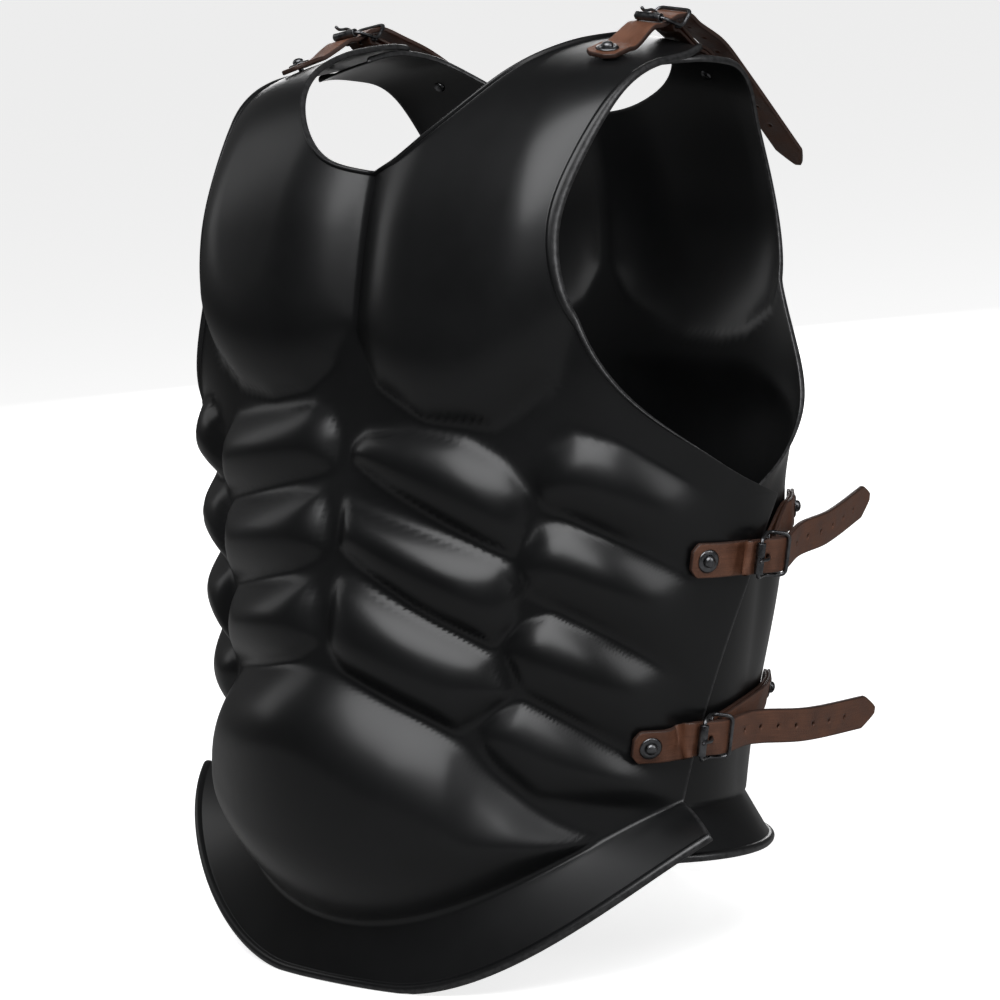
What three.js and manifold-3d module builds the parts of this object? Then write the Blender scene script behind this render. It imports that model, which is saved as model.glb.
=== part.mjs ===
// Steel muscle breastplate and backplate, joined by six leather straps with roller buckles.
// Millimetres, +Z up, the front faces -Y and the wearer's left is +X. The origin lies on the
// floor, under the middle of the neck.
import * as THREE from 'three';
import { ParametricGeometry } from 'three/addons/geometries/ParametricGeometry.js';
import { mergeVertices } from 'three/addons/utils/BufferGeometryUtils.js';
import Module from 'manifold-3d';

const wasm = await Module();
wasm.setup();

// ---- driving dimensions -------------------------------------------------------------------
const SHEET = 1.6;               // thickness of the steel
const ROLL_RADIUS = 3;           // half-round roll along neck, armholes and rim
const FLOOR_DRESS = 0.5;         // how much the rim's roll is dressed flat where it stands
const DEG_TO_MM = 3;             // mean width of one degree of the pattern round the body
const LEAN = 8.49;               // degrees it leans back, standing on the rims' two low places
const FRONT_FOOT = -140;         // y of the breastplate's low place
const STRAP_WIDTH = 21;
const STRAP_THICK = 3;
const WIRE = 2.4;                // buckle wire
const GAP = 0.3;                 // gap between neighbouring pieces

// ---- how finely the plates are divided -----------------------------------------------------
const CORNER_ROW = 0.4;          // part of the height where the armhole meets the side edge
const NECK_COLUMN = 0.7;         // part of the top edge that is neckline, the rest is shoulder
const ARMHOLE_SPACING = 0.35;
const COLUMNS = [9, 4];           // grid columns of half a plate: within and beyond the neck
const ROWS = [10, 12];            // grid rows below and above the lowest point of the armhole
const FLANGE_ROWS = 2;
const EDGE_STEPS = [0, 0.6, 3, 6];
const FLANGE_LENGTH = 42;
const FAR = 99;                  // distance that no edge shape reaches

// Each plate is a pattern wrapped round the torso. A pattern point is (degrees round from the
// middle, distance t up the middle line); the tables give the middle line (y, z), the half
// width, the depth and the lean of the section at distances t.
const FRONT = {
  side: 1,
  y: [[36, -131], [120, -134], [200, -134], [300, -128], [400, -118], [491, -101], [548, -77],
    [594, -41], [636, 0], [657, 21], [681, 45]],
  z: [[36, 36], [120, 120], [200, 200], [300, 300], [400, 400], [491, 489], [548, 541],
    [594, 566], [636, 575.5], [657, 578], [681, 576.5]],
  halfWidth: [[36, 178], [118, 180], [200, 192], [300, 207], [400, 209], [500, 207], [681, 200]],
  depth: [[36, 131], [120, 134], [200, 134], [300, 128], [340, 104], [374, 76], [448, 48],
    [540, 52], [636, 60], [681, 60]],
  lean: [[36, 0], [300, 0], [380, 4], [448, 20], [520, 46], [590, 70], [636, 84], [657, 90],
    [681, 95]],
  sideEdge: [[78.8, 115], [81, 142], [86, 200], [90, 245], [96, 280], [103, 296]],
  armhole: [[103, 296], [89, 306], [76, 323], [63, 346], [53, 377], [46.5, 420], [45, 458],
    [47, 500], [50, 550], [51, 610], [50.5, 635], [48, 655], [44.5, 671]],
  neckline: [[0, 489], [7, 492], [13, 506], [19.5, 531], [24, 560], [27, 600], [28.6, 635],
    [29.5, 668]],
  middle: [[0, 36], [0.2, 135], [0.4, 230], [0.62, 350], [0.82, 430], [1, 489]],
  fold: (s) => 36 + 79 * s ** 2 / 0.9624,
  rim: (s) => 114 * (Math.max(0, s - 0.19) / 0.81) ** 1.85,
  rimWidth: 227,
  rimDepth: 140,
  flangeEnd: 8,
};
const BACK = {
  side: -1,
  y: [[36, -124], [120, -127], [200, -126], [300, -119], [400, -112], [480, -109], [530, -95],
    [560, -84], [588, -64], [614, -38], [631, -21], [652, 0], [668, 16]],
  z: [[36, 36], [120, 120], [200, 200], [300, 300], [400, 400], [480, 480], [530, 526],
    [560, 549.5], [588, 566.5], [614, 573], [631, 573.6], [652, 570.2], [668, 565.4]],
  halfWidth: [[36, 172], [118, 174], [200, 187], [300, 202], [400, 205], [500, 205], [668, 198]],
  depth: [[36, 124], [120, 127], [200, 126], [250, 124], [285, 121], [300, 116], [323, 94],
    [345, 72], [374, 60],
    [410, 50], [453, 42], [495, 44], [530, 50], [560, 54], [614, 59], [668, 60]],
  lean: [[36, 0], [300, 0], [400, 1], [480, 8], [530, 22], [560, 38], [588, 60], [614, 82],
    [631, 90], [652, 96], [668, 99]],
  sideEdge: [[110, 111], [109, 150], [105, 200], [99, 250], [96, 287]],
  armhole: [[96, 287], [91, 294], [86, 302], [80, 311], [74, 322], [67, 345], [60, 372],
    [51.5, 404], [45.5, 440], [42.8, 470], [42.5, 500], [43.8, 525], [45.8, 550], [48, 580], [50, 610],
    [50, 631], [47, 655], [44, 668]],
  neckline: [[0, 532], [8, 534.5], [14, 542], [19.5, 553.5], [23.5, 567], [26.5, 582],
    [28.3, 602], [29, 625], [30, 660]],
  middle: [[0, 80], [0.2, 160], [0.4, 245], [0.62, 365], [0.82, 460], [1, 532]],
  fold: (s) => 80 + 31 * smooth(s, 0.1, 0.85),
  rim: (s) => 40 + 43 * smooth(s, 0.16, 0.75),
  rimWidth: 200,
  rimDepth: 128,
  flangeEnd: -4,
};

// ---- muscles: outline as [degrees, t] points, height of the dome and width of its slope ------
const CHEST_LEFT = { height: 23, reach: 44, crease: 1.2,
  outline: [[-0.4, 700], [-0.4, 392], [5, 358], [16, 337], [30, 336], [43, 367], [49.5, 412],
      [50.5, 700]] };
const CHEST_RIGHT = { height: 23, reach: 44, crease: 1.2,
  outline: [[0.2, 700], [0.2, 396], [4, 370], [10, 355], [20, 349], [30, 354], [40, 374], [47, 408],
      [50.5, 700]] };
const STOMACH_LEFT = [
  { height: 14, reach: 24,
    outline: [[0.8, 314], [7, 301], [30, 265], [35, 262], [37.5, 275], [37.5, 298], [33, 316], [24, 332],
      [14, 337], [4, 334], [0.8, 324]] },
  { height: 14, reach: 24,
    outline: [[0.6, 262], [8, 246], [20, 224], [33, 208], [36.5, 222], [37, 240], [34, 262], [30, 266],
      [8, 301], [2, 304], [0.6, 292]] },
  { height: 14, reach: 23,
    outline: [[0.6, 203], [4, 190], [27, 157], [33, 168], [37.5, 181], [36, 192], [33, 205], [8, 245],
      [2, 248], [0.6, 236]] },
];
const STOMACH_RIGHT = [
  { height: 14, reach: 25,
    outline: [[1.5, 308], [10, 300], [25, 290.5], [39, 286], [40, 300], [39.5, 324], [34, 338],
      [20, 345], [8, 350], [3, 343], [1, 330]] },
  { height: 14, reach: 25,
    outline: [[1, 258], [8, 247], [22, 239], [37, 233], [38.5, 245], [39, 270], [38, 284], [25, 291],
      [10, 298], [3, 296], [1, 278]] },
  { height: 14, reach: 25,
    outline: [[1, 205], [8, 193], [17, 188], [37, 182], [37.5, 200], [37, 220], [36, 231], [22, 238],
      [8, 245], [3, 243], [1, 230]] },
];
const RIBS_LEFT = [
  { height: 13, reach: 24,
    outline: [[37, 300], [38.5, 290], [67, 257], [110, 206], [110, 250], [72, 305], [54, 331], [46, 335],
      [40, 326], [37, 312]] },
  { height: 13, reach: 24,
    outline: [[34.5, 256], [37.5, 240], [66, 202], [110, 145], [110, 204], [67, 256], [44, 284],
      [39, 281], [35.5, 270]] },
  { height: 13, reach: 24,
    outline: [[34, 205], [38.5, 181], [60, 151], [110, 90], [110, 145], [66, 202], [43, 230], [38, 226],
      [34.5, 215]] },
  { height: 12, reach: 24,
    outline: [[31, 162], [31.5, 149], [35, 136], [43, 119], [56, 114], [90, 110], [60, 151], [40, 179],
      [34, 172]] },
];
const RIBS_RIGHT = [
  { height: 13, reach: 24,
    outline: [[41, 305], [43, 294], [110, 318], [110, 332], [58, 347], [49, 348], [43, 337], [41, 320]] },
  { height: 13, reach: 24,
    outline: [[38.5, 248], [41, 241], [110, 280], [110, 318], [43, 294], [40, 288], [38.5, 275]] },
  { height: 13, reach: 24,
    outline: [[37.5, 198], [39.5, 189], [110, 250], [110, 280], [41, 241], [38.5, 234], [37.5, 222]] },
  { height: 12, reach: 24,
    outline: [[38.5, 172], [42, 152], [48, 146], [110, 190], [110, 250], [42, 191], [38.5, 183]] },
];
const BELLY = { height: 24, reach: 48,
  outline: [[-66, 10], [66, 10], [66, 240], [-66, 240]] };
const SHOULDER_BLADE = { height: 10, reach: 38, crease: 1.4,
  outline: [[1, 700], [1, 430], [5, 408], [12, 394], [19, 386], [28, 384], [36, 389], [46, 406],
      [50, 440], [50, 700]] };
const FLANK = { height: 10, reach: 60, crease: 8,
  outline: [[3, 375], [3, 60], [60, 60], [75, 120], [80, 300], [60, 345], [40, 372]] };
const BELLY_TOP = [
  [-66, 92], [-58, 97], [-50, 112], [-45, 128], [-41, 150], [-38.5, 168], [-35, 179], [-28, 184],
  [-17, 188], [-8, 192], [0, 191], [9, 181], [15, 172], [20, 165.5], [25, 158], [28, 152],
  [32, 140], [36, 129], [40, 120], [45, 110], [50, 103], [58, 96], [66, 92]];
const CREASE = 1.8;              // roundness of the creases in mm
const RIB_FADE = [50, 80];       // degrees over which the ribs run out
const FLANK_FADE = [66, 86];     // degrees over which the flank of the back runs out
const CHEST_FADE = [450, 600];   // heights over which the chest runs out
const BLADE_FADE = [440, 590];
const PAUNCH = { middle: 185, long: 120, up: 170, down: 200, height: 14, start: 70 };

// ---- small mathematics ---------------------------------------------------------------------
const rad = THREE.MathUtils.degToRad;
const clamp = THREE.MathUtils.clamp;
const smooth = THREE.MathUtils.smoothstep;

/** Natural cubic spline through [x, y] knots, straight beyond its ends. */
function spline(knots) {
  const n = knots.length;
  const x = knots.map((k) => k[0]);
  const y = knots.map((k) => k[1]);
  const diag = new Array(n).fill(1);
  const right = new Array(n).fill(0);
  const bend = new Array(n).fill(0);
  for (let i = 1; i < n - 1; i += 1) {
    const h0 = x[i] - x[i - 1];
    const h1 = x[i + 1] - x[i];
    const factor = i > 1 ? h0 / diag[i - 1] : 0;
    diag[i] = 2 * (h0 + h1) - factor * h0;
    right[i] = 6 * ((y[i + 1] - y[i]) / h1 - (y[i] - y[i - 1]) / h0) - factor * right[i - 1];
  }
  for (let i = n - 2; i > 0; i -= 1) {
    bend[i] = (right[i] - (x[i + 1] - x[i]) * bend[i + 1]) / diag[i];
  }
  return (at) => {
    const t = clamp(at, x[0], x[n - 1]);
    let i = 0;
    while (i < n - 2 && t > x[i + 1]) i += 1;
    const h = x[i + 1] - x[i];
    const a = (x[i + 1] - t) / h;
    const b = (t - x[i]) / h;
    const cubic = ((a ** 3 - a) * bend[i] + (b ** 3 - b) * bend[i + 1]) * h * h / 6;
    const slope = (y[i + 1] - y[i]) / h
      + ((1 - 3 * a * a) * bend[i] + (3 * b * b - 1) * bend[i + 1]) * h / 6;
    return a * y[i] + b * y[i + 1] + cubic + slope * (at - t);
  };
}

/** Pattern curve through points; across is the weight of its degrees in the spacing. */
function patternCurve(points, across) {
  const at = [0];
  points.slice(1).forEach((p, i) => {
    const step = Math.hypot((p[0] - points[i][0]) * DEG_TO_MM * across, p[1] - points[i][1]);
    at.push(at[i] + step);
  });
  const total = at[at.length - 1];
  const phi = spline(points.map((p, i) => [at[i] / total, p[0]]));
  const t = spline(points.map((p, i) => [at[i] / total, p[1]]));
  return (u) => [phi(u), t(u)];
}

// ---- the plates ----------------------------------------------------------------------------

/** Height of one dome over the plate; borders are more distances from its edge. */
function dome(muscle, phi, t, borders = []) {
  let total = borders.reduce((sum, d) => sum + Math.max(d, 1e-3) ** -5, 0);
  muscle.outline.forEach(([p0, t0], i) => {
    const [p1, t1] = muscle.outline[(i + 1) % muscle.outline.length];
    const long = Math.hypot((p1 - p0) * DEG_TO_MM, t1 - t0);
    const area = (p1 - p0) * DEG_TO_MM * (t - t0) - (t1 - t0) * (phi - p0) * DEG_TO_MM;
    total += Math.max(area / long, 1e-3) ** -5;
  });
  const crease = muscle.crease ?? CREASE;
  const inside = Math.hypot(total ** -0.2, crease) - crease;
  return muscle.height * (1 - (1 - Math.min(inside / muscle.reach, 1)) ** 2);
}

/** Largest of some heights, with the creases between them softened. */
function merged(heights) {
  return heights.reduce((sum, h) => sum + Math.max(h, 0) ** 6, 0) ** (1 / 6);
}

const bellyTop = spline(BELLY_TOP);

/** Raised muscles of the breastplate, in mm over the plain plate. */
function frontRelief(side, t) {
  const phi = Math.abs(side);
  const overFold = t - FRONT.fold(Math.sin(rad(phi)));
  const slope = (bellyTop(side + 0.5) - bellyTop(side - 0.5)) / DEG_TO_MM;
  const underTop = (bellyTop(side) - t) / Math.hypot(1, slope);
  const both = (left, right) => [
    ...left.map((muscle) => dome(muscle, side, t)),
    ...right.map((muscle) => dome(muscle, -side, t)),
  ];
  const ribs = both(RIBS_LEFT, RIBS_RIGHT).map((h) => h * (1 - smooth(phi, ...RIB_FADE)));
  const chest = both([CHEST_LEFT], [CHEST_RIGHT]).map((h) => h * (1 - smooth(t, ...CHEST_FADE)));
  const reach = t > PAUNCH.middle ? PAUNCH.up : PAUNCH.down;
  const swell = PAUNCH.height * Math.max(0, 1 - (phi * DEG_TO_MM / PAUNCH.long) ** 2) ** 2
    * Math.max(0, 1 - ((t - PAUNCH.middle) / reach) ** 2) ** 2
    * (1 - (1 - clamp(overFold / PAUNCH.start, 0, 1)) ** 2);
  const belly = dome(BELLY, side, t, [overFold, underTop]);
  return swell + merged([belly, ...both(STOMACH_LEFT, STOMACH_RIGHT), ...ribs, ...chest]);
}

/** Raised muscles of the backplate. */
function backRelief(side, t) {
  const phi = Math.abs(side);
  const blade = dome(SHOULDER_BLADE, phi, t) * (1 - smooth(t, ...BLADE_FADE));
  const flank = dome(FLANK, phi, t) * (0.35 + 0.65 * smooth(t, 140, 270));
  return merged([blade, flank * (1 - smooth(phi, ...FLANK_FADE))]);
}

/** Moves a point that lies under the floor of the leaning part up to the floor. */
function standOnFloor(point) {
  const up = new THREE.Vector3(0, -Math.sin(rad(LEAN)), Math.cos(rad(LEAN)));
  const depth = (point.y - FRONT_FOOT) * up.y + point.z * up.z;
  if (depth < 0) point.addScaledVector(up, -depth);
}

/** One plate: its pattern wrapped round the torso, with muscles, flange, rolls and thickness. */
class Plate {
  constructor(spec, relief) {
    this.spec = spec;
    this.relief = relief;
    ['y', 'z', 'halfWidth', 'depth', 'lean', 'middle'].forEach((name) => {
      this[name] = spline(spec[name]);
    });
    this.sideEdge = patternCurve(spec.sideEdge, 1);
    this.armhole = patternCurve(spec.armhole, ARMHOLE_SPACING);
    this.neckline = patternCurve(spec.neckline, 1);
    this.corner = { low: spec.sideEdge[0], high: spec.armhole[spec.armhole.length - 1] };
  }

  /** Plain plate at a pattern point. */
  base(phi, t) {
    const deep = this.depth(t) * (1 - Math.cos(rad(phi)));
    const lean = rad(this.lean(t));
    const y = this.y(t) + deep * Math.cos(lean);
    const z = this.z(t) - deep * Math.sin(lean);
    return new THREE.Vector3(this.halfWidth(t) * Math.sin(rad(phi)), this.spec.side * y, z);
  }

  /** Outward normal of the plain plate. */
  normal(phi, t) {
    const step = 0.05;
    const across = this.base(phi + step, t).sub(this.base(phi - step, t));
    const along = this.base(phi, t + step).sub(this.base(phi, t - step));
    return across.cross(along).multiplyScalar(this.spec.side).normalize();
  }

  /** Outward normal with the muscles on, taken over a few mm. */
  outward(phi, t) {
    const across = this.bodyPoint(phi + 1.5, t, 0).sub(this.bodyPoint(phi - 1.5, t, 0));
    const along = this.bodyPoint(phi, t + 5, 0).sub(this.bodyPoint(phi, t - 5, 0));
    return across.cross(along).multiplyScalar(this.spec.side).normalize();
  }

  /** Point over the body of the plate, lift mm over its middle surface. */
  bodyPoint(phi, t, lift) {
    const height = lift + this.relief(phi, t);
    return this.base(phi, t).addScaledVector(this.normal(phi, t), height);
  }

  /** Point of the flange; w runs from 0 at the fold to 1 at the rim. */
  flangePoint(phi, w, lift) {
    const { side, rimWidth, rimDepth } = this.spec;
    const at = (angle) => {
      const fold = this.base(angle, this.fold(angle));
      const s = Math.sin(rad(angle));
      const c = Math.cos(rad(angle));
      const height = this.spec.rim(Math.abs(s)) - FLOOR_DRESS;
      const rim = new THREE.Vector3(rimWidth * s, -side * rimDepth * c, height);
      return { fold, rim };
    };
    const here = at(phi);
    const next = at(phi + 0.1);
    const down = here.rim.clone().sub(here.fold);
    const across = next.fold.lerp(next.rim, w).sub(here.fold.clone().lerp(here.rim, w));
    const normal = down.clone().cross(across).multiplyScalar(side).normalize();
    return here.fold.addScaledVector(down, w).addScaledVector(normal, lift);
  }

  /** Pattern point of the body grid: a runs -1..1 across, b runs 0..1 up. */
  place(a, b) {
    const side = Math.abs(a);
    const right = b < CORNER_ROW
      ? this.sideEdge(b / CORNER_ROW)
      : this.armhole((b - CORNER_ROW) / (1 - CORNER_ROW));
    const end = this.neckline(1);
    const { low, high } = this.corner;
    const top = side < NECK_COLUMN
      ? this.neckline(side / NECK_COLUMN)
      : [0, 1].map((k) => end[k] + (high[k] - end[k]) * (side - NECK_COLUMN) / (1 - NECK_COLUMN));
    const foot = this.fold(low[0]);
    const phi = side * right[0] + (1 - b) * side * low[0] + b * top[0]
      - side * (1 - b) * low[0] - side * b * high[0];
    const t = (1 - side) * this.middle(b) + side * right[1]
      + (1 - b) * this.fold(side * low[0]) + b * top[1]
      - (1 - side) * (1 - b) * this.fold(0) - side * (1 - b) * foot
      - (1 - side) * b * this.spec.neckline[0][1] - side * b * high[1];
    return [Math.sign(a) * phi, t];
  }

  /** Shape of the wall near its edges: du and dv are mm from the side and the end edges. */
  lift(du, dv, rollU, rollV, outside) {
    const round = (d, r) => Math.sqrt(Math.max(0, 1 - (1 - Math.min(d, r) / r) ** 2));
    const plain = (SHEET / 2) * round(Math.min(du, dv), SHEET / 2);
    if (!outside) return -plain;
    const roll = (d) => (d < 2 * ROLL_RADIUS ? Math.sqrt(1 - (d / ROLL_RADIUS - 1) ** 2) : 0);
    const bead = (d, other, size) => size * ROLL_RADIUS * roll(d) * round(other, SHEET / 2);
    return Math.max(plain, bead(du, dv, rollU), bead(dv, du, rollV));
  }

  /** Surface point of the closed wall for a column and a row. */
  wall(column, row, outside) {
    const { a, du } = this.across(column, row);
    if (row.flange) {
      const lift = this.lift(du, row.d, 0, 1, outside);
      return this.flangePoint(a * this.flangeAngle(row.w), row.w, lift);
    }
    const [phi, t] = this.place(a, row.b);
    const rolledSide = smooth(row.b, CORNER_ROW + 0.02, CORNER_ROW + 0.14);
    const rolledTop = Math.abs(a) < NECK_COLUMN ? 1 : 0;
    return this.bodyPoint(phi, t, this.lift(du, row.d, rolledSide, rolledTop, outside));
  }

  /** Height of the waist fold at an angle round the body. */
  fold(phi) {
    return this.spec.fold(Math.abs(Math.sin(rad(phi))));
  }

  flangeAngle(w) {
    return this.corner.low[0] - this.spec.flangeEnd * w;
  }

  /** Position across a row: columns near the edge keep their distance from it in mm. */
  across(column, row) {
    const width = DEG_TO_MM * (row.flange ? this.flangeAngle(row.w) : this.place(1, row.b)[0]);
    const inner = 1 - EDGE_STEPS[EDGE_STEPS.length - 1] / width;
    const { part, beyond, edge: du } = column;
    if (du !== undefined) return { a: Math.sign(part) * (1 - du / width), du };
    return { a: part + Math.sign(part) * beyond * (inner - NECK_COLUMN), du: FAR };
  }

  /** The closed wall as one geometry. */
  geometry() {
    const [inside, outside] = COLUMNS;
    const half = [];
    for (let i = 1; i <= inside; i += 1) half.push({ part: NECK_COLUMN * i / inside, beyond: 0 });
    for (let i = 1; i <= outside; i += 1) half.push({ part: NECK_COLUMN, beyond: i / outside });
    EDGE_STEPS.slice(0, -1).reverse().forEach((edge) => half.push({ part: 1, edge }));
    const flip = (c) => ({ ...c, part: -c.part });
    const line = [...half.map(flip).reverse(), { part: 0, beyond: 0 }, ...half];
    const rows = this.rows();
    const loop = [
      ...line.map((column) => ({ column, outer: true })),
      ...line.slice(1, -1).reverse().map((column) => ({ column, outer: false })),
    ];
    loop.push(loop[0]);
    const shape = (u, v, target) => {
      const { column, outer } = loop[Math.round(u * (loop.length - 1))];
      const row = rows[Math.round(v * (rows.length - 1))];
      target.copy(this.wall(column, row, outer));
      standOnFloor(target);
    };
    const geometry = new ParametricGeometry(shape, loop.length - 1, rows.length - 1);
    return closed(geometry, this.spec.side < 0);
  }

  rows() {
    const margin = EDGE_STEPS[EDGE_STEPS.length - 1];
    const list = EDGE_STEPS.map((d) => ({ flange: true, w: 1 - d / FLANGE_LENGTH, d }));
    for (let i = 1; i < FLANGE_ROWS; i += 1) {
      const w = (1 - margin / FLANGE_LENGTH) * (1 - i / FLANGE_ROWS);
      list.push({ flange: true, w, d: FAR });
    }
    const high = this.corner.high[1] - this.fold(0);
    const top = 1 - margin / high - CORNER_ROW;
    for (let i = 0; i < ROWS[0]; i += 1) list.push({ b: CORNER_ROW * i / ROWS[0], d: FAR });
    for (let i = 0; i <= ROWS[1]; i += 1) list.push({ b: CORNER_ROW + top * i / ROWS[1], d: FAR });
    EDGE_STEPS.slice(0, -1).reverse().forEach((d) => list.push({ b: 1 - d / high, d }));
    return list;
  }
}

// ---- solids ----------------------------------------------------------------------------------

/** Welded body of a geometry, without triangles that have no area, turned inside out if asked. */
function closed(geometry, flip = false) {
  geometry.deleteAttribute('normal');
  geometry.deleteAttribute('uv');
  const welded = mergeVertices(geometry, 1e-3);
  const index = Array.from(welded.index.array);
  const kept = [];
  for (let i = 0; i < index.length; i += 3) {
    const [a, b, c] = index.slice(i, i + 3);
    if (a !== b && b !== c && c !== a) kept.push(...(flip ? [a, c, b] : [a, b, c]));
  }
  welded.setIndex(kept);
  return welded;
}

function toSolid(geometry) {
  const body = closed(geometry);
  const mesh = new wasm.Mesh({
    numProp: 3,
    vertProperties: new Float32Array(body.attributes.position.array),
    triVerts: new Uint32Array(body.index.array),
  });
  return new wasm.Manifold(mesh);
}

function toGeometry(solid) {
  const { vertProperties, triVerts } = solid.getMesh();
  const geometry = new THREE.BufferGeometry();
  geometry.setAttribute('position', new THREE.BufferAttribute(vertProperties, 3));
  geometry.setIndex(new THREE.BufferAttribute(triVerts, 1));
  return geometry;
}

/** Matrix that lays local X along one direction and local Y along (about) another. */
function frame(origin, along, width) {
  const x = along.clone().normalize();
  const z = x.clone().cross(width).normalize();
  const y = z.clone().cross(x);
  return new THREE.Matrix4().makeBasis(x, y, z).setPosition(origin);
}

/** Round rod between two points. */
function rod(from, to, radius, sides = 8) {
  const axis = to.clone().sub(from);
  const turn = new THREE.Quaternion().setFromUnitVectors(new THREE.Vector3(0, 1, 0),
    axis.clone().normalize());
  return new THREE.CylinderGeometry(radius, radius, axis.length(), sides)
    .applyQuaternion(turn)
    .translate(...from.clone().add(to).multiplyScalar(0.5).toArray());
}

/** Flat strap along points { at, half, width }; half is half its width there. */
function ribbon(points, thick) {
  const corner = [[-1, -1], [1, -1], [1, 1], [-1, 1], [-1, -1]];
  const last = points.length + 1;
  const shape = (u, v, target) => {
    const row = Math.round(v * last);
    const i = clamp(row - 1, 0, points.length - 1);
    const [sideways, upward] = corner[Math.round(u * 4)];
    const before = points[Math.max(i - 1, 0)].at;
    const after = points[Math.min(i + 1, points.length - 1)].at;
    const here = points[i].at;
    const along = after.clone().sub(here).normalize().add(here.clone().sub(before).normalize());
    along.normalize();
    const up = along.clone().cross(points[i].width).normalize();
    const across = up.clone().cross(along);
    const flat = row === 0 || row === last ? 0 : upward * thick / 2;
    target.copy(points[i].at).addScaledVector(across, sideways * points[i].half)
      .addScaledVector(up, flat)
      .addScaledVector(along, row === 0 ? -0.3 : row === last ? 0.3 : 0);
  };
  return closed(new ParametricGeometry(shape, 4, last));
}

/** Ring or dome turned about Z from an [r, z] outline that closes on itself or on the axis. */
function turned(outline, sides) {
  const points = outline.map(([r, z]) => new THREE.Vector2(r, z));
  return new THREE.LatheGeometry(points, sides).rotateX(Math.PI / 2);
}

// ---- the fastenings ------------------------------------------------------------------------

/** Each fastening of the left side; right ones are mirrored. Angles and t are pattern points. */
const SHOULDER = {
  name: 'shoulder',
  front: [38.6, 592],
  frontEnd: [38.6, 608],
  back: [33.5, 566],
  backEnd: [36, 606],
  roller: new THREE.Vector3(126, 1, 574.3),
  along: new THREE.Vector3(0, 1, 0.17),
  width: new THREE.Vector3(-0.99, 0, 0.139),
  tail: [new THREE.Vector3(123.5, 40, 577.5), new THREE.Vector3(121, 66, 568.5),
    new THREE.Vector3(117.5, 90, 554.5), new THREE.Vector3(116, 158, 500)],
};
const UPPER_SIDE = {
  name: 'upper_side',
  front: [74.3, 260.5],
  frontEnd: [86, 260.5],
  back: [60, 286],
  backEnd: [70, 281],
  roller: new THREE.Vector3(211.3, -5, 261),
  along: new THREE.Vector3(-0.02, 1, 0.05),
  width: new THREE.Vector3(0.17, 0.05, 0.98),
  tail: [new THREE.Vector3(206, 46, 268), new THREE.Vector3(198, 85, 272.5),
    new THREE.Vector3(180, 148, 285)],
};
const LOWER_SIDE = {
  name: 'lower_side',
  front: [67.2, 152],
  frontEnd: [74.5, 152.5],
  back: [57, 174],
  backEnd: [84, 162],
  roller: new THREE.Vector3(190, -31, 154.5),
  along: new THREE.Vector3(-0.02, 1, 0),
  width: new THREE.Vector3(0.14, 0, 0.99),
  tail: [new THREE.Vector3(188, 24, 155.5), new THREE.Vector3(187, 80, 151.5),
    new THREE.Vector3(182, 150, 152)],
};
const AXLE = [0, 4.6];           // buckle in its own plane: [along, outward] of its three bars
const CENTRE_BAR = [15, -2];
const FAR_BAR = [25, 6.4];
const AXLE_HALF = 11.5;          // half lengths of the bars
const CENTRE_HALF = 14;
const FAR_HALF = 12.5;
const ROLLER_RADIUS = 2.7;
const TONGUE_WIRE = 2;
const CHAPE_THICK = 2;
const HOLE_SPACING = 18;
const HOLE_COUNT = 5;
const HOLE_RADIUS = 1.5;
const WASHER_RADIUS = 6.3;
const WASHER_THICK = 1.1;
const STRAP_REST = 1.5;          // room under the leather where the plate is curved
const SHANK_RADIUS = 1.7;
const HEAD_RADIUS = 3.6;

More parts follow.
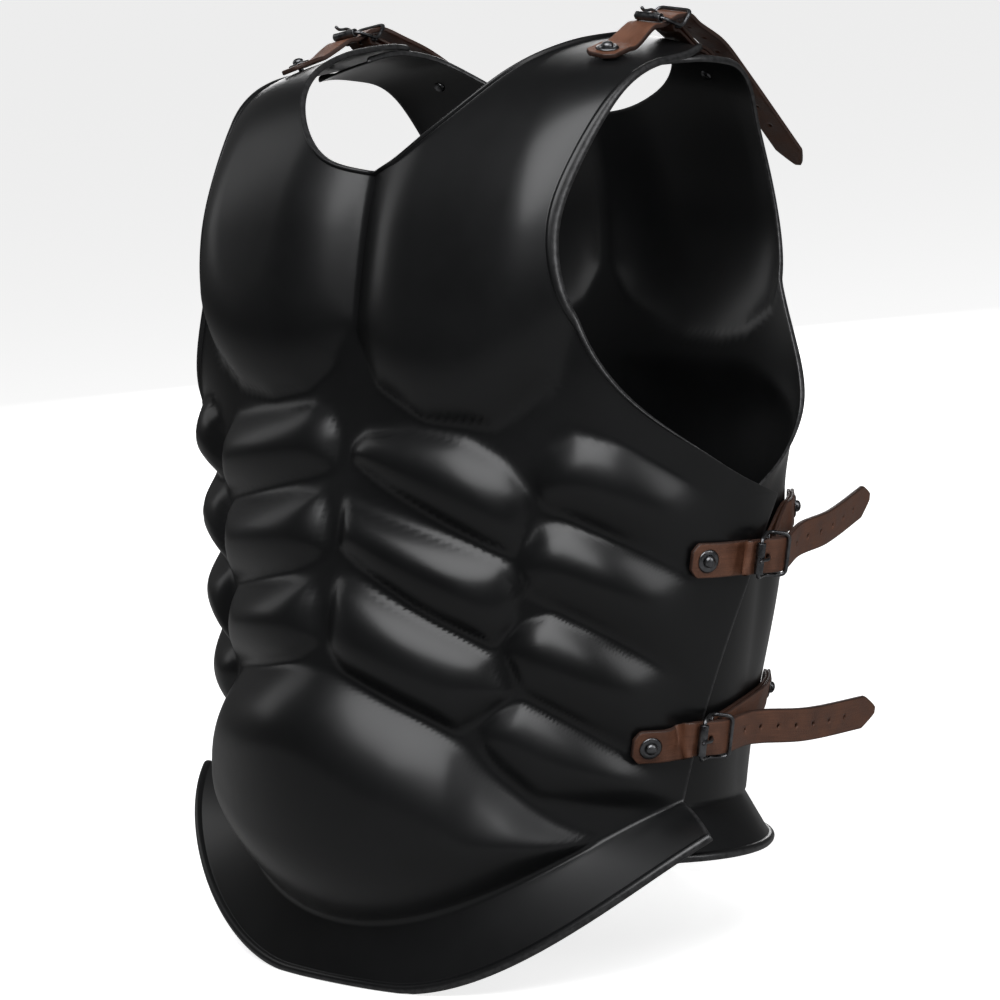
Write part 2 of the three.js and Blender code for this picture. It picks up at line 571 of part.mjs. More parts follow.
/** One strap with its buckle, chape, rivets and washers on the left or right side. */
class Fastening {
  constructor(spec, mirror) {
    this.spec = spec;
    this.mirror = mirror;
    this.name = `${spec.name}_${mirror > 0 ? 'left' : 'right'}`;
    this.buckle = frame(spec.roller, spec.along, spec.width);
    this.out = new THREE.Vector3().setFromMatrixColumn(this.buckle, 2);
    this.width = new THREE.Vector3().setFromMatrixColumn(this.buckle, 1);
    this.frontRivet = this.seat(breastplate, spec.front);
    this.backRivet = this.seat(backplate, spec.back);
  }

  /** Point at a height over this side's plate and its outward direction, given as on the left. */
  seat(plate, [phi, t], lift = 0) {
    const flip = new THREE.Vector3(this.mirror, 1, 1);
    const out = plate.outward(this.mirror * phi, t).multiply(flip);
    const at = plate.bodyPoint(this.mirror * phi, t, 0).multiply(flip);
    return { at: at.addScaledVector(out, lift), out };
  }

  local(along, outward, across = 0) {
    return new THREE.Vector3(along, across, outward).applyMatrix4(this.buckle);
  }

  /** Points over a plate between two pattern points, lifted, each with its width direction. */
  overPlate(plate, from, to, lift, parts) {
    const points = parts.map((part) => {
      const phi = from[0] + (to[0] - from[0]) * part;
      const t = from[1] + (to[1] - from[1]) * part;
      return this.seat(plate, [phi, t], lift);
    });
    const way = this.seat(plate, to).at.sub(this.seat(plate, from).at);
    return points.map(({ at, out }) => {
      const width = out.clone().cross(way).normalize();
      return { at, width: width.multiplyScalar(Math.sign(width.dot(this.width))) };
    });
  }

  /** Points on the flat round a rivet, at distances along the leather from it. */
  roundRivet({ at, out }, toward, lift, distances) {
    const flat = toward.clone().sub(at);
    flat.addScaledVector(out, -flat.dot(out)).normalize();
    const width = out.clone().cross(flat);
    width.multiplyScalar(Math.sign(width.dot(this.width)));
    return distances.map((d) => ({
      at: at.clone().addScaledVector(out, lift).addScaledVector(flat, d), width }));
  }

  /** Middle line of the long strap, from its riveted end to its tip. */
  strapLine() {
    const { front, frontEnd, tail } = this.spec;
    const lift = SHEET / 2 + GAP + STRAP_THICK / 2 + STRAP_REST;
    const over = this.overPlate(breastplate, front, frontEnd, lift, [0.75, 1]);
    const seat = this.roundRivet(this.frontRivet, over[0].at, lift, [-11, -8, 0, 8]);
    const free = [this.local(-7, 0), this.local(0, 0), this.local(7, 1.5), this.local(15, 3.6),
      this.local(21, 3.4), this.local(27, 3), ...tail];
    return [...seat, ...over, ...free.map((at) => ({ at, width: this.width }))];
  }

  strap() {
    const line = this.strapLine();
    const half = STRAP_WIDTH / 2;
    const [before, tip] = line.slice(-2);
    const end = tip.at.clone().sub(before.at).normalize();
    const point = { at: tip.at.clone().addScaledVector(end, 8), width: this.width };
    const all = [...line, point];
    const points = all.map((p, i) => ({
      ...p, half: i === 0 ? half * 0.65 : i === all.length - 1 ? 3 : half }));
    let solid = toSolid(ribbon(points, STRAP_THICK));
    const cut = (geometry) => { solid = solid.subtract(toSolid(geometry)); };
    cut(this.drill(this.frontRivet));
    cut(this.slot(3, 14, 8));
    const route = line.slice(-this.spec.tail.length - 1);
    for (let i = 0; i < HOLE_COUNT; i += 1) cut(this.hole(route, 32 + i * HOLE_SPACING));
    return toGeometry(solid);
  }

  /** Cutter for a rivet's hole through everything at its place. */
  drill({ at, out }) {
    const end = (d) => at.clone().addScaledVector(out, d);
    return rod(end(-8), end(14), SHANK_RADIUS + 2 * GAP, 8);
  }

  /** Cutter for a tail hole, a distance along the free end from the far bar. */
  hole(route, distance) {
    let left = distance;
    let i = 0;
    while (i < route.length - 2 && left > route[i].at.distanceTo(route[i + 1].at)) {
      left -= route[i].at.distanceTo(route[i + 1].at);
      i += 1;
    }
    const way = route[i + 1].at.clone().sub(route[i].at).normalize();
    const at = route[i].at.clone().addScaledVector(way, left);
    const out = way.cross(this.width).normalize().multiplyScalar(5);
    return rod(at.clone().sub(out), at.clone().add(out), HOLE_RADIUS, 6);
  }

  /** Cutter for the tongue's slot between two distances along the buckle. */
  slot(from, to, tall) {
    const box = new THREE.BoxGeometry(to - from, TONGUE_WIRE + 1.4, 2 * tall);
    return box.translate((from + to) / 2, 0, 2).applyMatrix4(this.buckle);
  }

  /** Leather folded round the centre bar, both layers riveted to the backplate. */
  chape() {
    const { back, backEnd } = this.spec;
    const [s, n] = CENTRE_BAR;
    const bend = WIRE / 2 + 2 * GAP + CHAPE_THICK / 2;
    const half = STRAP_WIDTH / 2 - 1;
    const turn = (angle) => ({ width: this.width, half, at: this.local(
      s + bend * Math.cos(rad(angle)), n + bend * Math.sin(rad(angle))) });
    const low = SHEET / 2 + GAP + CHAPE_THICK / 2 + STRAP_REST;
    const high = low + CHAPE_THICK + GAP;
    const layer = (lift) => {
      const over = this.overPlate(backplate, back, backEnd, lift, [0.4, 0.7, 1]);
      const seat = this.roundRivet(this.backRivet, over[1].at, lift, [-9, -6, 0, 7]);
      return [...seat, ...over].map((p, i) => ({ ...p, half: i === 0 ? half * 0.65 : half }));
    };
    const points = [...layer(low), turn(-60), turn(-110), turn(-160), turn(160), turn(110),
      turn(60), ...layer(high).reverse()];
    const solid = toSolid(ribbon(points, CHAPE_THICK)).subtract(toSolid(this.drill(this.backRivet)));
    return toGeometry(solid.subtract(toSolid(this.slot(7, 19, 9))));
  }

  frame() {
    const bar = ([s, n], half) => [this.local(s, n, -half), this.local(s, n, half)];
    const bars = [bar(AXLE, AXLE_HALF), bar(CENTRE_BAR, CENTRE_HALF), bar(FAR_BAR, FAR_HALF)];
    const pairs = [...bars, ...[0, 1].flatMap((k) => [
      [bars[0][k], bars[1][k]], [bars[1][k], bars[2][k]]])];
    const ends = bars.flat().map((p) => new THREE.OctahedronGeometry(WIRE / 2 * 1.15)
      .translate(...p.toArray()));
    const bodies = [...pairs.map(([from, to]) => rod(from, to, WIRE / 2, 4)), ...ends];
    return toGeometry(bodies.map(toSolid).reduce((whole, body) => whole.add(body)));
  }

  roller() {
    const half = STRAP_WIDTH / 2 - 0.8;
    const inner = WIRE / 2 + 0.35;
    const outline = [[inner, -half], [ROLLER_RADIUS, -half], [ROLLER_RADIUS, half],
      [inner, half], [inner, -half]];
    return closed(turned(outline, 10).rotateX(Math.PI / 2).translate(AXLE[0], 0, AXLE[1])
      .applyMatrix4(this.buckle));
  }

  tongue() {
    const [s, n] = CENTRE_BAR;
    const loop = WIRE / 2 + GAP + TONGUE_WIRE / 2 + 0.1;
    const ring = [-60, -20, 30, 80, 125].map((angle) => [
      s + loop * Math.cos(rad(angle)), n + loop * Math.sin(rad(angle))]);
    const over = AXLE[1] + ROLLER_RADIUS + TONGUE_WIRE / 2 + GAP;
    const way = [...ring, [8, 5], [1, over], [-4, over - 0.2], [-7, over + 2.5]];
    const path = new THREE.CatmullRomCurve3(way.map(([x, z]) => new THREE.Vector3(x, 0, z)));
    const wire = new THREE.Shape();
    wire.absarc(0, 0, TONGUE_WIRE / 2, 0, 2 * Math.PI);
    const geometry = new THREE.ExtrudeGeometry(wire, { steps: 12, curveSegments: 3,
      extrudePath: path });
    return closed(geometry.applyMatrix4(this.buckle));
  }

  /** Domed head, shank through leather and plate, and the hammered tail inside. */
  rivet({ at, out }, stack) {
    const low = -SHEET / 2 - 2.2;
    const outline = [[0, low - 1.6], [2.6, low - 1.6], [3.4, low], [SHANK_RADIUS, low],
      [SHANK_RADIUS, stack], [HEAD_RADIUS, stack], [HEAD_RADIUS, stack + 0.7],
      [HEAD_RADIUS * 0.75, stack + 1.9], [0, stack + 2.5]];
    return closed(turned(outline, 6).applyMatrix4(this.seatFrame(at, out)));
  }

  washer({ at, out }, stack) {
    const inner = SHANK_RADIUS + GAP;
    const under = stack - GAP - WASHER_THICK;
    const outline = [[inner, under], [WASHER_RADIUS, under], [WASHER_RADIUS, stack - GAP],
      [inner, stack - GAP], [inner, under]];
    return closed(turned(outline, 9).applyMatrix4(this.seatFrame(at, out)));
  }

  seatFrame(at, out) {
    const side = out.clone().cross(this.width).normalize();
    return new THREE.Matrix4().makeBasis(side, out.clone().cross(side), out).setPosition(at);
  }

  /** Adds every piece of the fastening, mirrored for the right side. */
  addTo() {
    const onStrap = SHEET / 2 + STRAP_REST + STRAP_THICK + 3 * GAP + WASHER_THICK;
    const onChape = SHEET / 2 + STRAP_REST + 2 * CHAPE_THICK + 4 * GAP + WASHER_THICK;
    const put = (piece, geometry, material) => {
      const placed = this.mirror > 0 ? geometry : closed(geometry.scale(-1, 1, 1), true);
      add(`${this.name}_${piece}`, placed, material);
    };
    put('strap', this.strap(), leather());
    put('chape', this.chape(), leather());
    put('buckle_frame', this.frame(), darkSteel());
    put('buckle_roller', this.roller(), darkSteel());
    put('buckle_tongue', this.tongue(), darkSteel());
    put('front_rivet', this.rivet(this.frontRivet, onStrap), darkSteel());
    put('front_washer', this.washer(this.frontRivet, onStrap), darkSteel());
    put('back_rivet', this.rivet(this.backRivet, onChape), darkSteel());
    put('back_washer', this.washer(this.backRivet, onChape), darkSteel());
  }

  /** Cutters for the rivets' holes in the two plates. */
  plateHoles() {
    const drill = (seat) => {
      const cutter = this.drill(seat);
      return toSolid(this.mirror > 0 ? cutter : closed(cutter.scale(-1, 1, 1), true));
    };
    return { front: drill(this.frontRivet), back: drill(this.backRivet) };
  }
}

// ---- materials and assembly ----------------------------------------------------------------

function blackSteel() {
  return new THREE.MeshStandardMaterial({
    name: 'blackened_steel', color: 0x141517, roughness: 0.32, metalness: 0.9 });
}

function darkSteel() {
  return new THREE.MeshStandardMaterial({
    name: 'gunmetal', color: 0x3a3c3d, roughness: 0.3, metalness: 1 });
}

function leather() {
  return new THREE.MeshStandardMaterial({
    name: 'brown_leather', color: 0x4a2617, roughness: 0.6, metalness: 0 });
}

const cuirass = new THREE.Group();
cuirass.rotation.x = -rad(LEAN);
cuirass.position.set(0, 0, FRONT_FOOT * Math.sin(rad(LEAN)));

function add(name, geometry, material) {
  const mesh = new THREE.Mesh(geometry, material);
  mesh.name = name;
  cuirass.add(mesh);
}

const breastplate = new Plate(FRONT, frontRelief);
const backplate = new Plate(BACK, backRelief);
const fastenings = [SHOULDER, UPPER_SIDE, LOWER_SIDE].flatMap((spec) => [
  new Fastening(spec, 1), new Fastening(spec, -1)]);
const drilled = (plate, end) => {
  const holes = fastenings.map((fastening) => fastening.plateHoles()[end]);
  return toGeometry(holes.reduce((solid, hole) => solid.subtract(hole),
    toSolid(plate.geometry())));
};
add('breastplate', drilled(breastplate, 'front'), blackSteel());
add('backplate', drilled(backplate, 'back'), blackSteel());
fastenings.forEach((fastening) => fastening.addTo());

cuirass.updateMatrixWorld(true);
const box = new THREE.Box3().setFromObject(cuirass, true);
cuirass.position.y -= (box.min.y + box.max.y) / 2;

export default new THREE.Group().add(cuirass);
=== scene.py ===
"""Blackened steel muscle cuirass with buckled leather straps, standing on its two waist rims."""
from __future__ import annotations

import logging
import math
from dataclasses import dataclass, field
from enum import Enum
from typing import Callable, Sequence

import bmesh
import bpy
import numpy as np
from mathutils import Matrix, Vector

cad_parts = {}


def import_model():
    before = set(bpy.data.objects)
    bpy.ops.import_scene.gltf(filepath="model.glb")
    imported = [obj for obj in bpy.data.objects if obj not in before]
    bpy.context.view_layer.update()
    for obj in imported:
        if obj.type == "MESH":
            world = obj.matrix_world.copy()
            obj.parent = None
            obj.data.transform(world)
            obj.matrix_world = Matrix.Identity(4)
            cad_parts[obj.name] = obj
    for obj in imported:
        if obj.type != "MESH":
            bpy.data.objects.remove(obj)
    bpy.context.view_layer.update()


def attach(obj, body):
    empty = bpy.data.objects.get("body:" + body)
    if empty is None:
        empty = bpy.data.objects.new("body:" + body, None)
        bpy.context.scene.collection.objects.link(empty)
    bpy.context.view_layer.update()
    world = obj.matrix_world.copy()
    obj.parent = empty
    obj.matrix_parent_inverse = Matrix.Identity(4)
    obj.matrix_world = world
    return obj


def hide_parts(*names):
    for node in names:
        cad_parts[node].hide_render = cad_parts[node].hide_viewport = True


LOG = logging.getLogger("cuirass")
Array = np.ndarray
Knots = tuple[tuple[float, float], ...]

MM = 0.001
LEAN = math.radians(8.49)        # the cuirass leans back on its two rims
SHIFT = Vector((0.0, -42.8450, -20.6692))
SHEET = 1.6
ROLL_RADIUS = 3.0
FLOOR_DRESS = 0.5
FRONT_FOOT = -140.0
DEG_TO_MM = 3.0                  # mean width of a pattern degree
CORNER_ROW = 0.4
NECK_COLUMN = 0.7
ARMHOLE_SPACING = 0.35
FLANGE_LENGTH = 42.0
FAR = 99.0
STRAP_WIDTH = 21.0
STRAP_THICK = 3.0
CHAPE_THICK = 2.0
WIRE = 2.4
GAP = 0.3
STRAP_REST = 1.0
AXLE_HALF = 11.8
CENTRE_HALF = 13.2
FAR_HALF = 12.4
WASHER_THICK = 1.1
AXLE = (0.0, 4.6)
CENTRE_BAR = (15.0, -2.0)
FAR_BAR = (25.0, 6.4)
ROLLER_RADIUS = 2.7
TONGUE_WIRE = 2.0
SHANK_RADIUS = 1.7

ROW = Matrix.Scale(MM, 4) @ Matrix.Translation(SHIFT) @ Matrix.Rotation(-LEAN, 4, "X")


class Side(Enum):
    """Side of the wearer that a fastening is on."""

    LEFT = 1
    RIGHT = -1


class Spline:
    """Natural cubic spline through knots, straight beyond its ends."""

    def __init__(self, knots: Sequence[tuple[float, float]]) -> None:
        """Solves the spline.

        Args:
            knots: Pairs of place and value.
        """
        self.x = np.array([k[0] for k in knots], float)
        self.y = np.array([k[1] for k in knots], float)
        n = len(knots)
        h = np.diff(self.x)
        matrix = np.eye(n)
        right = np.zeros(n)
        for i in range(1, n - 1):
            matrix[i, i - 1:i + 2] = h[i - 1], 2 * (h[i - 1] + h[i]), h[i]
            right[i] = 6 * ((self.y[i + 1] - self.y[i]) / h[i]
                            - (self.y[i] - self.y[i - 1]) / h[i - 1])
        self.bend = np.linalg.solve(matrix, right)

    def __call__(self, at: Array | float) -> Array:
        """Returns the values at some places.

        Args:
            at: Places along the spline.

        Returns:
            The values there.
        """
        t = np.clip(at, self.x[0], self.x[-1])
        i = np.clip(np.searchsorted(self.x, t, side="left") - 1, 0, len(self.x) - 2)
        h = self.x[i + 1] - self.x[i]
        a = (self.x[i + 1] - t) / h
        b = (t - self.x[i]) / h
        low, high = self.bend[i], self.bend[i + 1]
        cubic = ((a ** 3 - a) * low + (b ** 3 - b) * high) * h * h / 6
        slope = ((self.y[i + 1] - self.y[i]) / h
                 + ((1 - 3 * a * a) * low + (3 * b * b - 1) * high) * h / 6)
        return a * self.y[i] + b * self.y[i + 1] + cubic + slope * (at - t)


class PatternCurve:
    """Edge of a pattern: a curve through (degrees, t) points."""

    def __init__(self, points: Knots, across: float) -> None:
        """Spaces the points along the curve.

        Args:
            points: Pattern points.
            across: Weight of the degrees in the spacing.
        """
        pts = np.array(points, float)
        step = np.hypot(np.diff(pts[:, 0]) * DEG_TO_MM * across, np.diff(pts[:, 1]))
        at = np.concatenate([[0.0], np.cumsum(step)]) / step.sum()
        self.phi = Spline(list(zip(at, pts[:, 0])))
        self.t = Spline(list(zip(at, pts[:, 1])))

    def __call__(self, u: Array | float) -> tuple[Array, Array]:
        """Returns degrees and t at a fraction of the curve."""
        return self.phi(u), self.t(u)


def smooth(x: Array | float, low: float, high: float) -> Array:
    """Returns a smooth step from 0 at low to 1 at high."""
    t = np.clip((x - low) / (high - low), 0.0, 1.0)
    return t * t * (3 - 2 * t)


@dataclass(frozen=True)
class Muscle:
    """One beaten muscle of a plate: its outline as (degrees, t) points, and its dome in mm."""

    outline: Knots
    height: float
    reach: float
    crease: float = 1.8

    def relief(self, phi: Array, t: Array, *borders: Array) -> Array:
        """Returns its height over the plain plate.

        Args:
            phi: Degrees round from the middle.
            t: Distances up the plate.
            borders: More distances from its border, in mm.

        Returns:
            Heights in mm.
        """
        total = sum(np.maximum(border, 1e-3) ** -5.0 for border in borders)
        points = [(p * DEG_TO_MM, q) for p, q in self.outline]
        for (x0, t0), (x1, t1) in zip(points, points[1:] + points[:1]):
            side = (x1 - x0) * (t - t0) - (t1 - t0) * (phi * DEG_TO_MM - x0)
            distance = side / math.hypot(x1 - x0, t1 - t0)
            total = total + np.maximum(distance, 1e-3) ** -5.0
        inside = np.hypot(total ** -0.2, self.crease) - self.crease
        return self.height * (1 - (1 - np.minimum(inside / self.reach, 1)) ** 2)


def merged(heights: Sequence[Array]) -> Array:
    """Returns the largest of some heights, with the creases between them softened."""
    return sum(np.maximum(height, 0) ** 6.0 for height in heights) ** (1 / 6)


@dataclass
class PlateSpec:
    """Driving shape of one plate, in mm and degrees."""

    side: int
    y: Knots
    z: Knots
    half_width: Knots
    depth: Knots
    lean: Knots
    side_edge: Knots
    armhole: Knots
    neckline: Knots
    middle: Knots
    fold: Callable[[Array], Array]
    rim: Callable[[Array], Array]
    rim_width: float
    rim_depth: float
    flange_end: float


FRONT = PlateSpec(
    side=1,
    y=((36, -131), (120, -134), (200, -134), (300, -128), (400, -118), (491, -101), (548, -77),
       (594, -41), (636, 0), (657, 21), (681, 45)),
    z=((36, 36), (120, 120), (200, 200), (300, 300), (400, 400), (491, 489), (548, 541),
       (594, 566), (636, 575.5), (657, 578), (681, 576.5)),
    half_width=((36, 178), (118, 180), (200, 192), (300, 207), (400, 209), (500, 207), (681, 200)),
    depth=((36, 131), (120, 134), (200, 134), (300, 128), (340, 104), (374, 76), (448, 48),
           (540, 52), (636, 60), (681, 60)),
    lean=((36, 0), (300, 0), (380, 4), (448, 20), (520, 46), (590, 70), (636, 84), (657, 90),
          (681, 95)),
    side_edge=((78.8, 115), (81, 142), (86, 200), (90, 245), (96, 280), (103, 296)),
    armhole=((103, 296), (89, 306), (76, 323), (63, 346), (53, 377), (46.5, 420), (45, 458),
             (47, 500), (50, 550), (51, 610), (50.5, 635), (48, 655), (44.5, 671)),
    neckline=((0, 489), (7, 492), (13, 506), (19.5, 531), (24, 560), (27, 600), (28.6, 635),
              (29.5, 668)),
    middle=((0, 36), (0.2, 135), (0.4, 230), (0.62, 350), (0.82, 430), (1, 489)),
    fold=lambda s: 36 + 79 * s ** 2 / 0.9624,
    rim=lambda s: 114 * (np.maximum(0, s - 0.19) / 0.81) ** 1.85,
    rim_width=227, rim_depth=140, flange_end=8)

BACK = PlateSpec(
    side=-1,
    y=((36, -124), (120, -127), (200, -126), (300, -119), (400, -112), (480, -109), (530, -95),
       (560, -84), (588, -64), (614, -38), (631, -21), (652, 0), (668, 16)),
    z=((36, 36), (120, 120), (200, 200), (300, 300), (400, 400), (480, 480), (530, 526),
       (560, 549.5), (588, 566.5), (614, 573), (631, 573.6), (652, 570.2), (668, 565.4)),
    half_width=((36, 172), (118, 174), (200, 187), (300, 202), (400, 205), (500, 205), (668, 198)),
    depth=((36, 124), (120, 127), (200, 126), (250, 124), (285, 121), (300, 116), (323, 94),
           (345, 72), (374, 60), (410, 50), (453, 42), (495, 44), (530, 50), (560, 54), (614, 59),
           (668, 60)),
    lean=((36, 0), (300, 0), (400, 1), (480, 8), (530, 22), (560, 38), (588, 60), (614, 82),
          (631, 90), (652, 96), (668, 99)),
    side_edge=((110, 111), (109, 150), (105, 200), (99, 250), (96, 287)),
    armhole=((96, 287), (91, 294), (86, 302), (80, 311), (74, 322), (67, 345), (60, 372),
             (51.5, 404), (45.5, 440), (42.8, 470), (42.5, 500), (43.8, 525), (45.8, 550), (48, 580),
             (50, 610), (50, 631), (47, 655), (44, 668)),
    neckline=((0, 532), (8, 534.5), (14, 542), (19.5, 553.5), (23.5, 567), (26.5, 582),
              (28.3, 602), (29, 625), (30, 660)),
    middle=((0, 80), (0.2, 160), (0.4, 245), (0.62, 365), (0.82, 460), (1, 532)),
    fold=lambda s: 80 + 31 * smooth(s, 0.1, 0.85),
    rim=lambda s: 40 + 43 * smooth(s, 0.16, 0.75),
    rim_width=200, rim_depth=128, flange_end=-4)

CHEST_LEFT = Muscle(((-0.4, 700), (-0.4, 392), (5, 358), (16, 337), (30, 336), (43, 367),
                     (49.5, 412), (50.5, 700)), 23, 44, 1.2)
CHEST_RIGHT = Muscle(((0.2, 700), (0.2, 396), (4, 370), (10, 355), (20, 349), (30, 354), (40, 374),
                      (47, 408), (50.5, 700)), 23, 44, 1.2)
STOMACH_LEFT = (
    Muscle(((0.8, 314), (7, 301), (30, 265), (35, 262), (37.5, 275), (37.5, 298), (33, 316),
            (24, 332), (14, 337), (4, 334), (0.8, 324)), 14, 24),
    Muscle(((0.6, 262), (8, 246), (20, 224), (33, 208), (36.5, 222), (37, 240), (34, 262),
            (30, 266), (8, 301), (2, 304), (0.6, 292)), 14, 24),
    Muscle(((0.6, 203), (4, 190), (27, 157), (33, 168), (37.5, 181), (36, 192), (33, 205),
            (8, 245), (2, 248), (0.6, 236)), 14, 23))
STOMACH_RIGHT = (
    Muscle(((1.5, 308), (10, 300), (25, 290.5), (39, 286), (40, 300), (39.5, 324), (34, 338),
            (20, 345), (8, 350), (3, 343), (1, 330)), 14, 25),
    Muscle(((1, 258), (8, 247), (22, 239), (37, 233), (38.5, 245), (39, 270), (38, 284),
            (25, 291), (10, 298), (3, 296), (1, 278)), 14, 25),
    Muscle(((1, 205), (8, 193), (17, 188), (37, 182), (37.5, 200), (37, 220), (36, 231),
            (22, 238), (8, 245), (3, 243), (1, 230)), 14, 25))
RIBS_LEFT = (
    Muscle(((37, 300), (38.5, 290), (67, 257), (110, 206), (110, 250), (72, 305), (54, 331),
            (46, 335), (40, 326), (37, 312)), 13, 24),
    Muscle(((34.5, 256), (37.5, 240), (66, 202), (110, 145), (110, 204), (67, 256), (44, 284),
            (39, 281), (35.5, 270)), 13, 24),
    Muscle(((34, 205), (38.5, 181), (60, 151), (110, 90), (110, 145), (66, 202), (43, 230),
            (38, 226), (34.5, 215)), 13, 24),
    Muscle(((31, 162), (31.5, 149), (35, 136), (43, 119), (56, 114), (90, 110), (60, 151),
            (40, 179), (34, 172)), 12, 24))
RIBS_RIGHT = (
    Muscle(((41, 305), (43, 294), (110, 318), (110, 332), (58, 347), (49, 348), (43, 337),
            (41, 320)), 13, 24),
    Muscle(((38.5, 248), (41, 241), (110, 280), (110, 318), (43, 294), (40, 288),
            (38.5, 275)), 13, 24),
    Muscle(((37.5, 198), (39.5, 189), (110, 250), (110, 280), (41, 241), (38.5, 234),
            (37.5, 222)), 13, 24),
    Muscle(((38.5, 172), (42, 152), (48, 146), (110, 190), (110, 250), (42, 191),
            (38.5, 183)), 12, 24))
BELLY = Muscle(((-66, 10), (66, 10), (66, 240), (-66, 240)), 24, 48)
BELLY_TOP = Spline(((-66, 92), (-58, 97), (-50, 112), (-45, 128), (-41, 150), (-38.5, 168),
                    (-35, 179), (-28, 184), (-17, 188), (-8, 192), (0, 191), (9, 181), (15, 172),
                    (20, 165.5), (25, 158), (28, 152), (32, 140), (36, 129), (40, 120), (45, 110),
                    (50, 103), (58, 96), (66, 92)))
SHOULDER_BLADE = Muscle(((1, 700), (1, 430), (5, 408), (12, 394), (19, 386), (28, 384), (36, 389),
                         (46, 406), (50, 440), (50, 700)), 10, 38, 1.4)
FLANK = Muscle(((3, 375), (3, 60), (60, 60), (75, 120), (80, 300), (60, 345), (40, 372)), 10, 60, 8)


def front_relief(side: Array, t: Array) -> Array:
    """Returns the muscles of the breastplate in mm over the plain plate."""
    phi = np.abs(side)
    over_fold = t - FRONT.fold(np.sin(np.radians(phi)))
    slope = (BELLY_TOP(side + 0.5) - BELLY_TOP(side - 0.5)) / DEG_TO_MM
    under_top = (BELLY_TOP(side) - t) / np.hypot(1, slope)
    fade = 1 - smooth(phi, 50, 80)
    ribs = [rib.relief(side, t) * fade for rib in RIBS_LEFT]
    ribs += [rib.relief(-side, t) * fade for rib in RIBS_RIGHT]
    rows = [row.relief(side, t) for row in STOMACH_LEFT]
    rows += [row.relief(-side, t) for row in STOMACH_RIGHT]
    chest = [CHEST_LEFT.relief(side, t) * (1 - smooth(t, 450, 600)),
             CHEST_RIGHT.relief(-side, t) * (1 - smooth(t, 450, 600))]
    belly = BELLY.relief(side, t, over_fold, under_top)
    reach = np.where(t > 185, 170, 200)
    swell = (14 * np.maximum(0, 1 - (phi * DEG_TO_MM / 120) ** 2) ** 2
             * np.maximum(0, 1 - ((t - 185) / reach) ** 2) ** 2
             * (1 - (1 - np.clip(over_fold / 70, 0, 1)) ** 2))
    return swell + merged([belly, *chest, *ribs, *rows])


def back_relief(side: Array, t: Array) -> Array:
    """Returns the muscles of the backplate in mm over the plain plate."""
    phi = np.abs(side)
    blade = SHOULDER_BLADE.relief(phi, t) * (1 - smooth(t, 440, 590))
    flank = FLANK.relief(phi, t) * (0.35 + 0.65 * smooth(t, 140, 270))
    return merged([blade, flank * (1 - smooth(phi, 66, 86))])


def unit(vectors: Array) -> Array:
    """Returns vectors scaled to length 1."""
    return vectors / np.maximum(np.linalg.norm(vectors, axis=-1, keepdims=True), 1e-9)


@dataclass
class Line:
    """Columns or rows of a plate's grid, as numpy arrays of the same length."""

    part: Array
    beyond: Array
    edge: Array


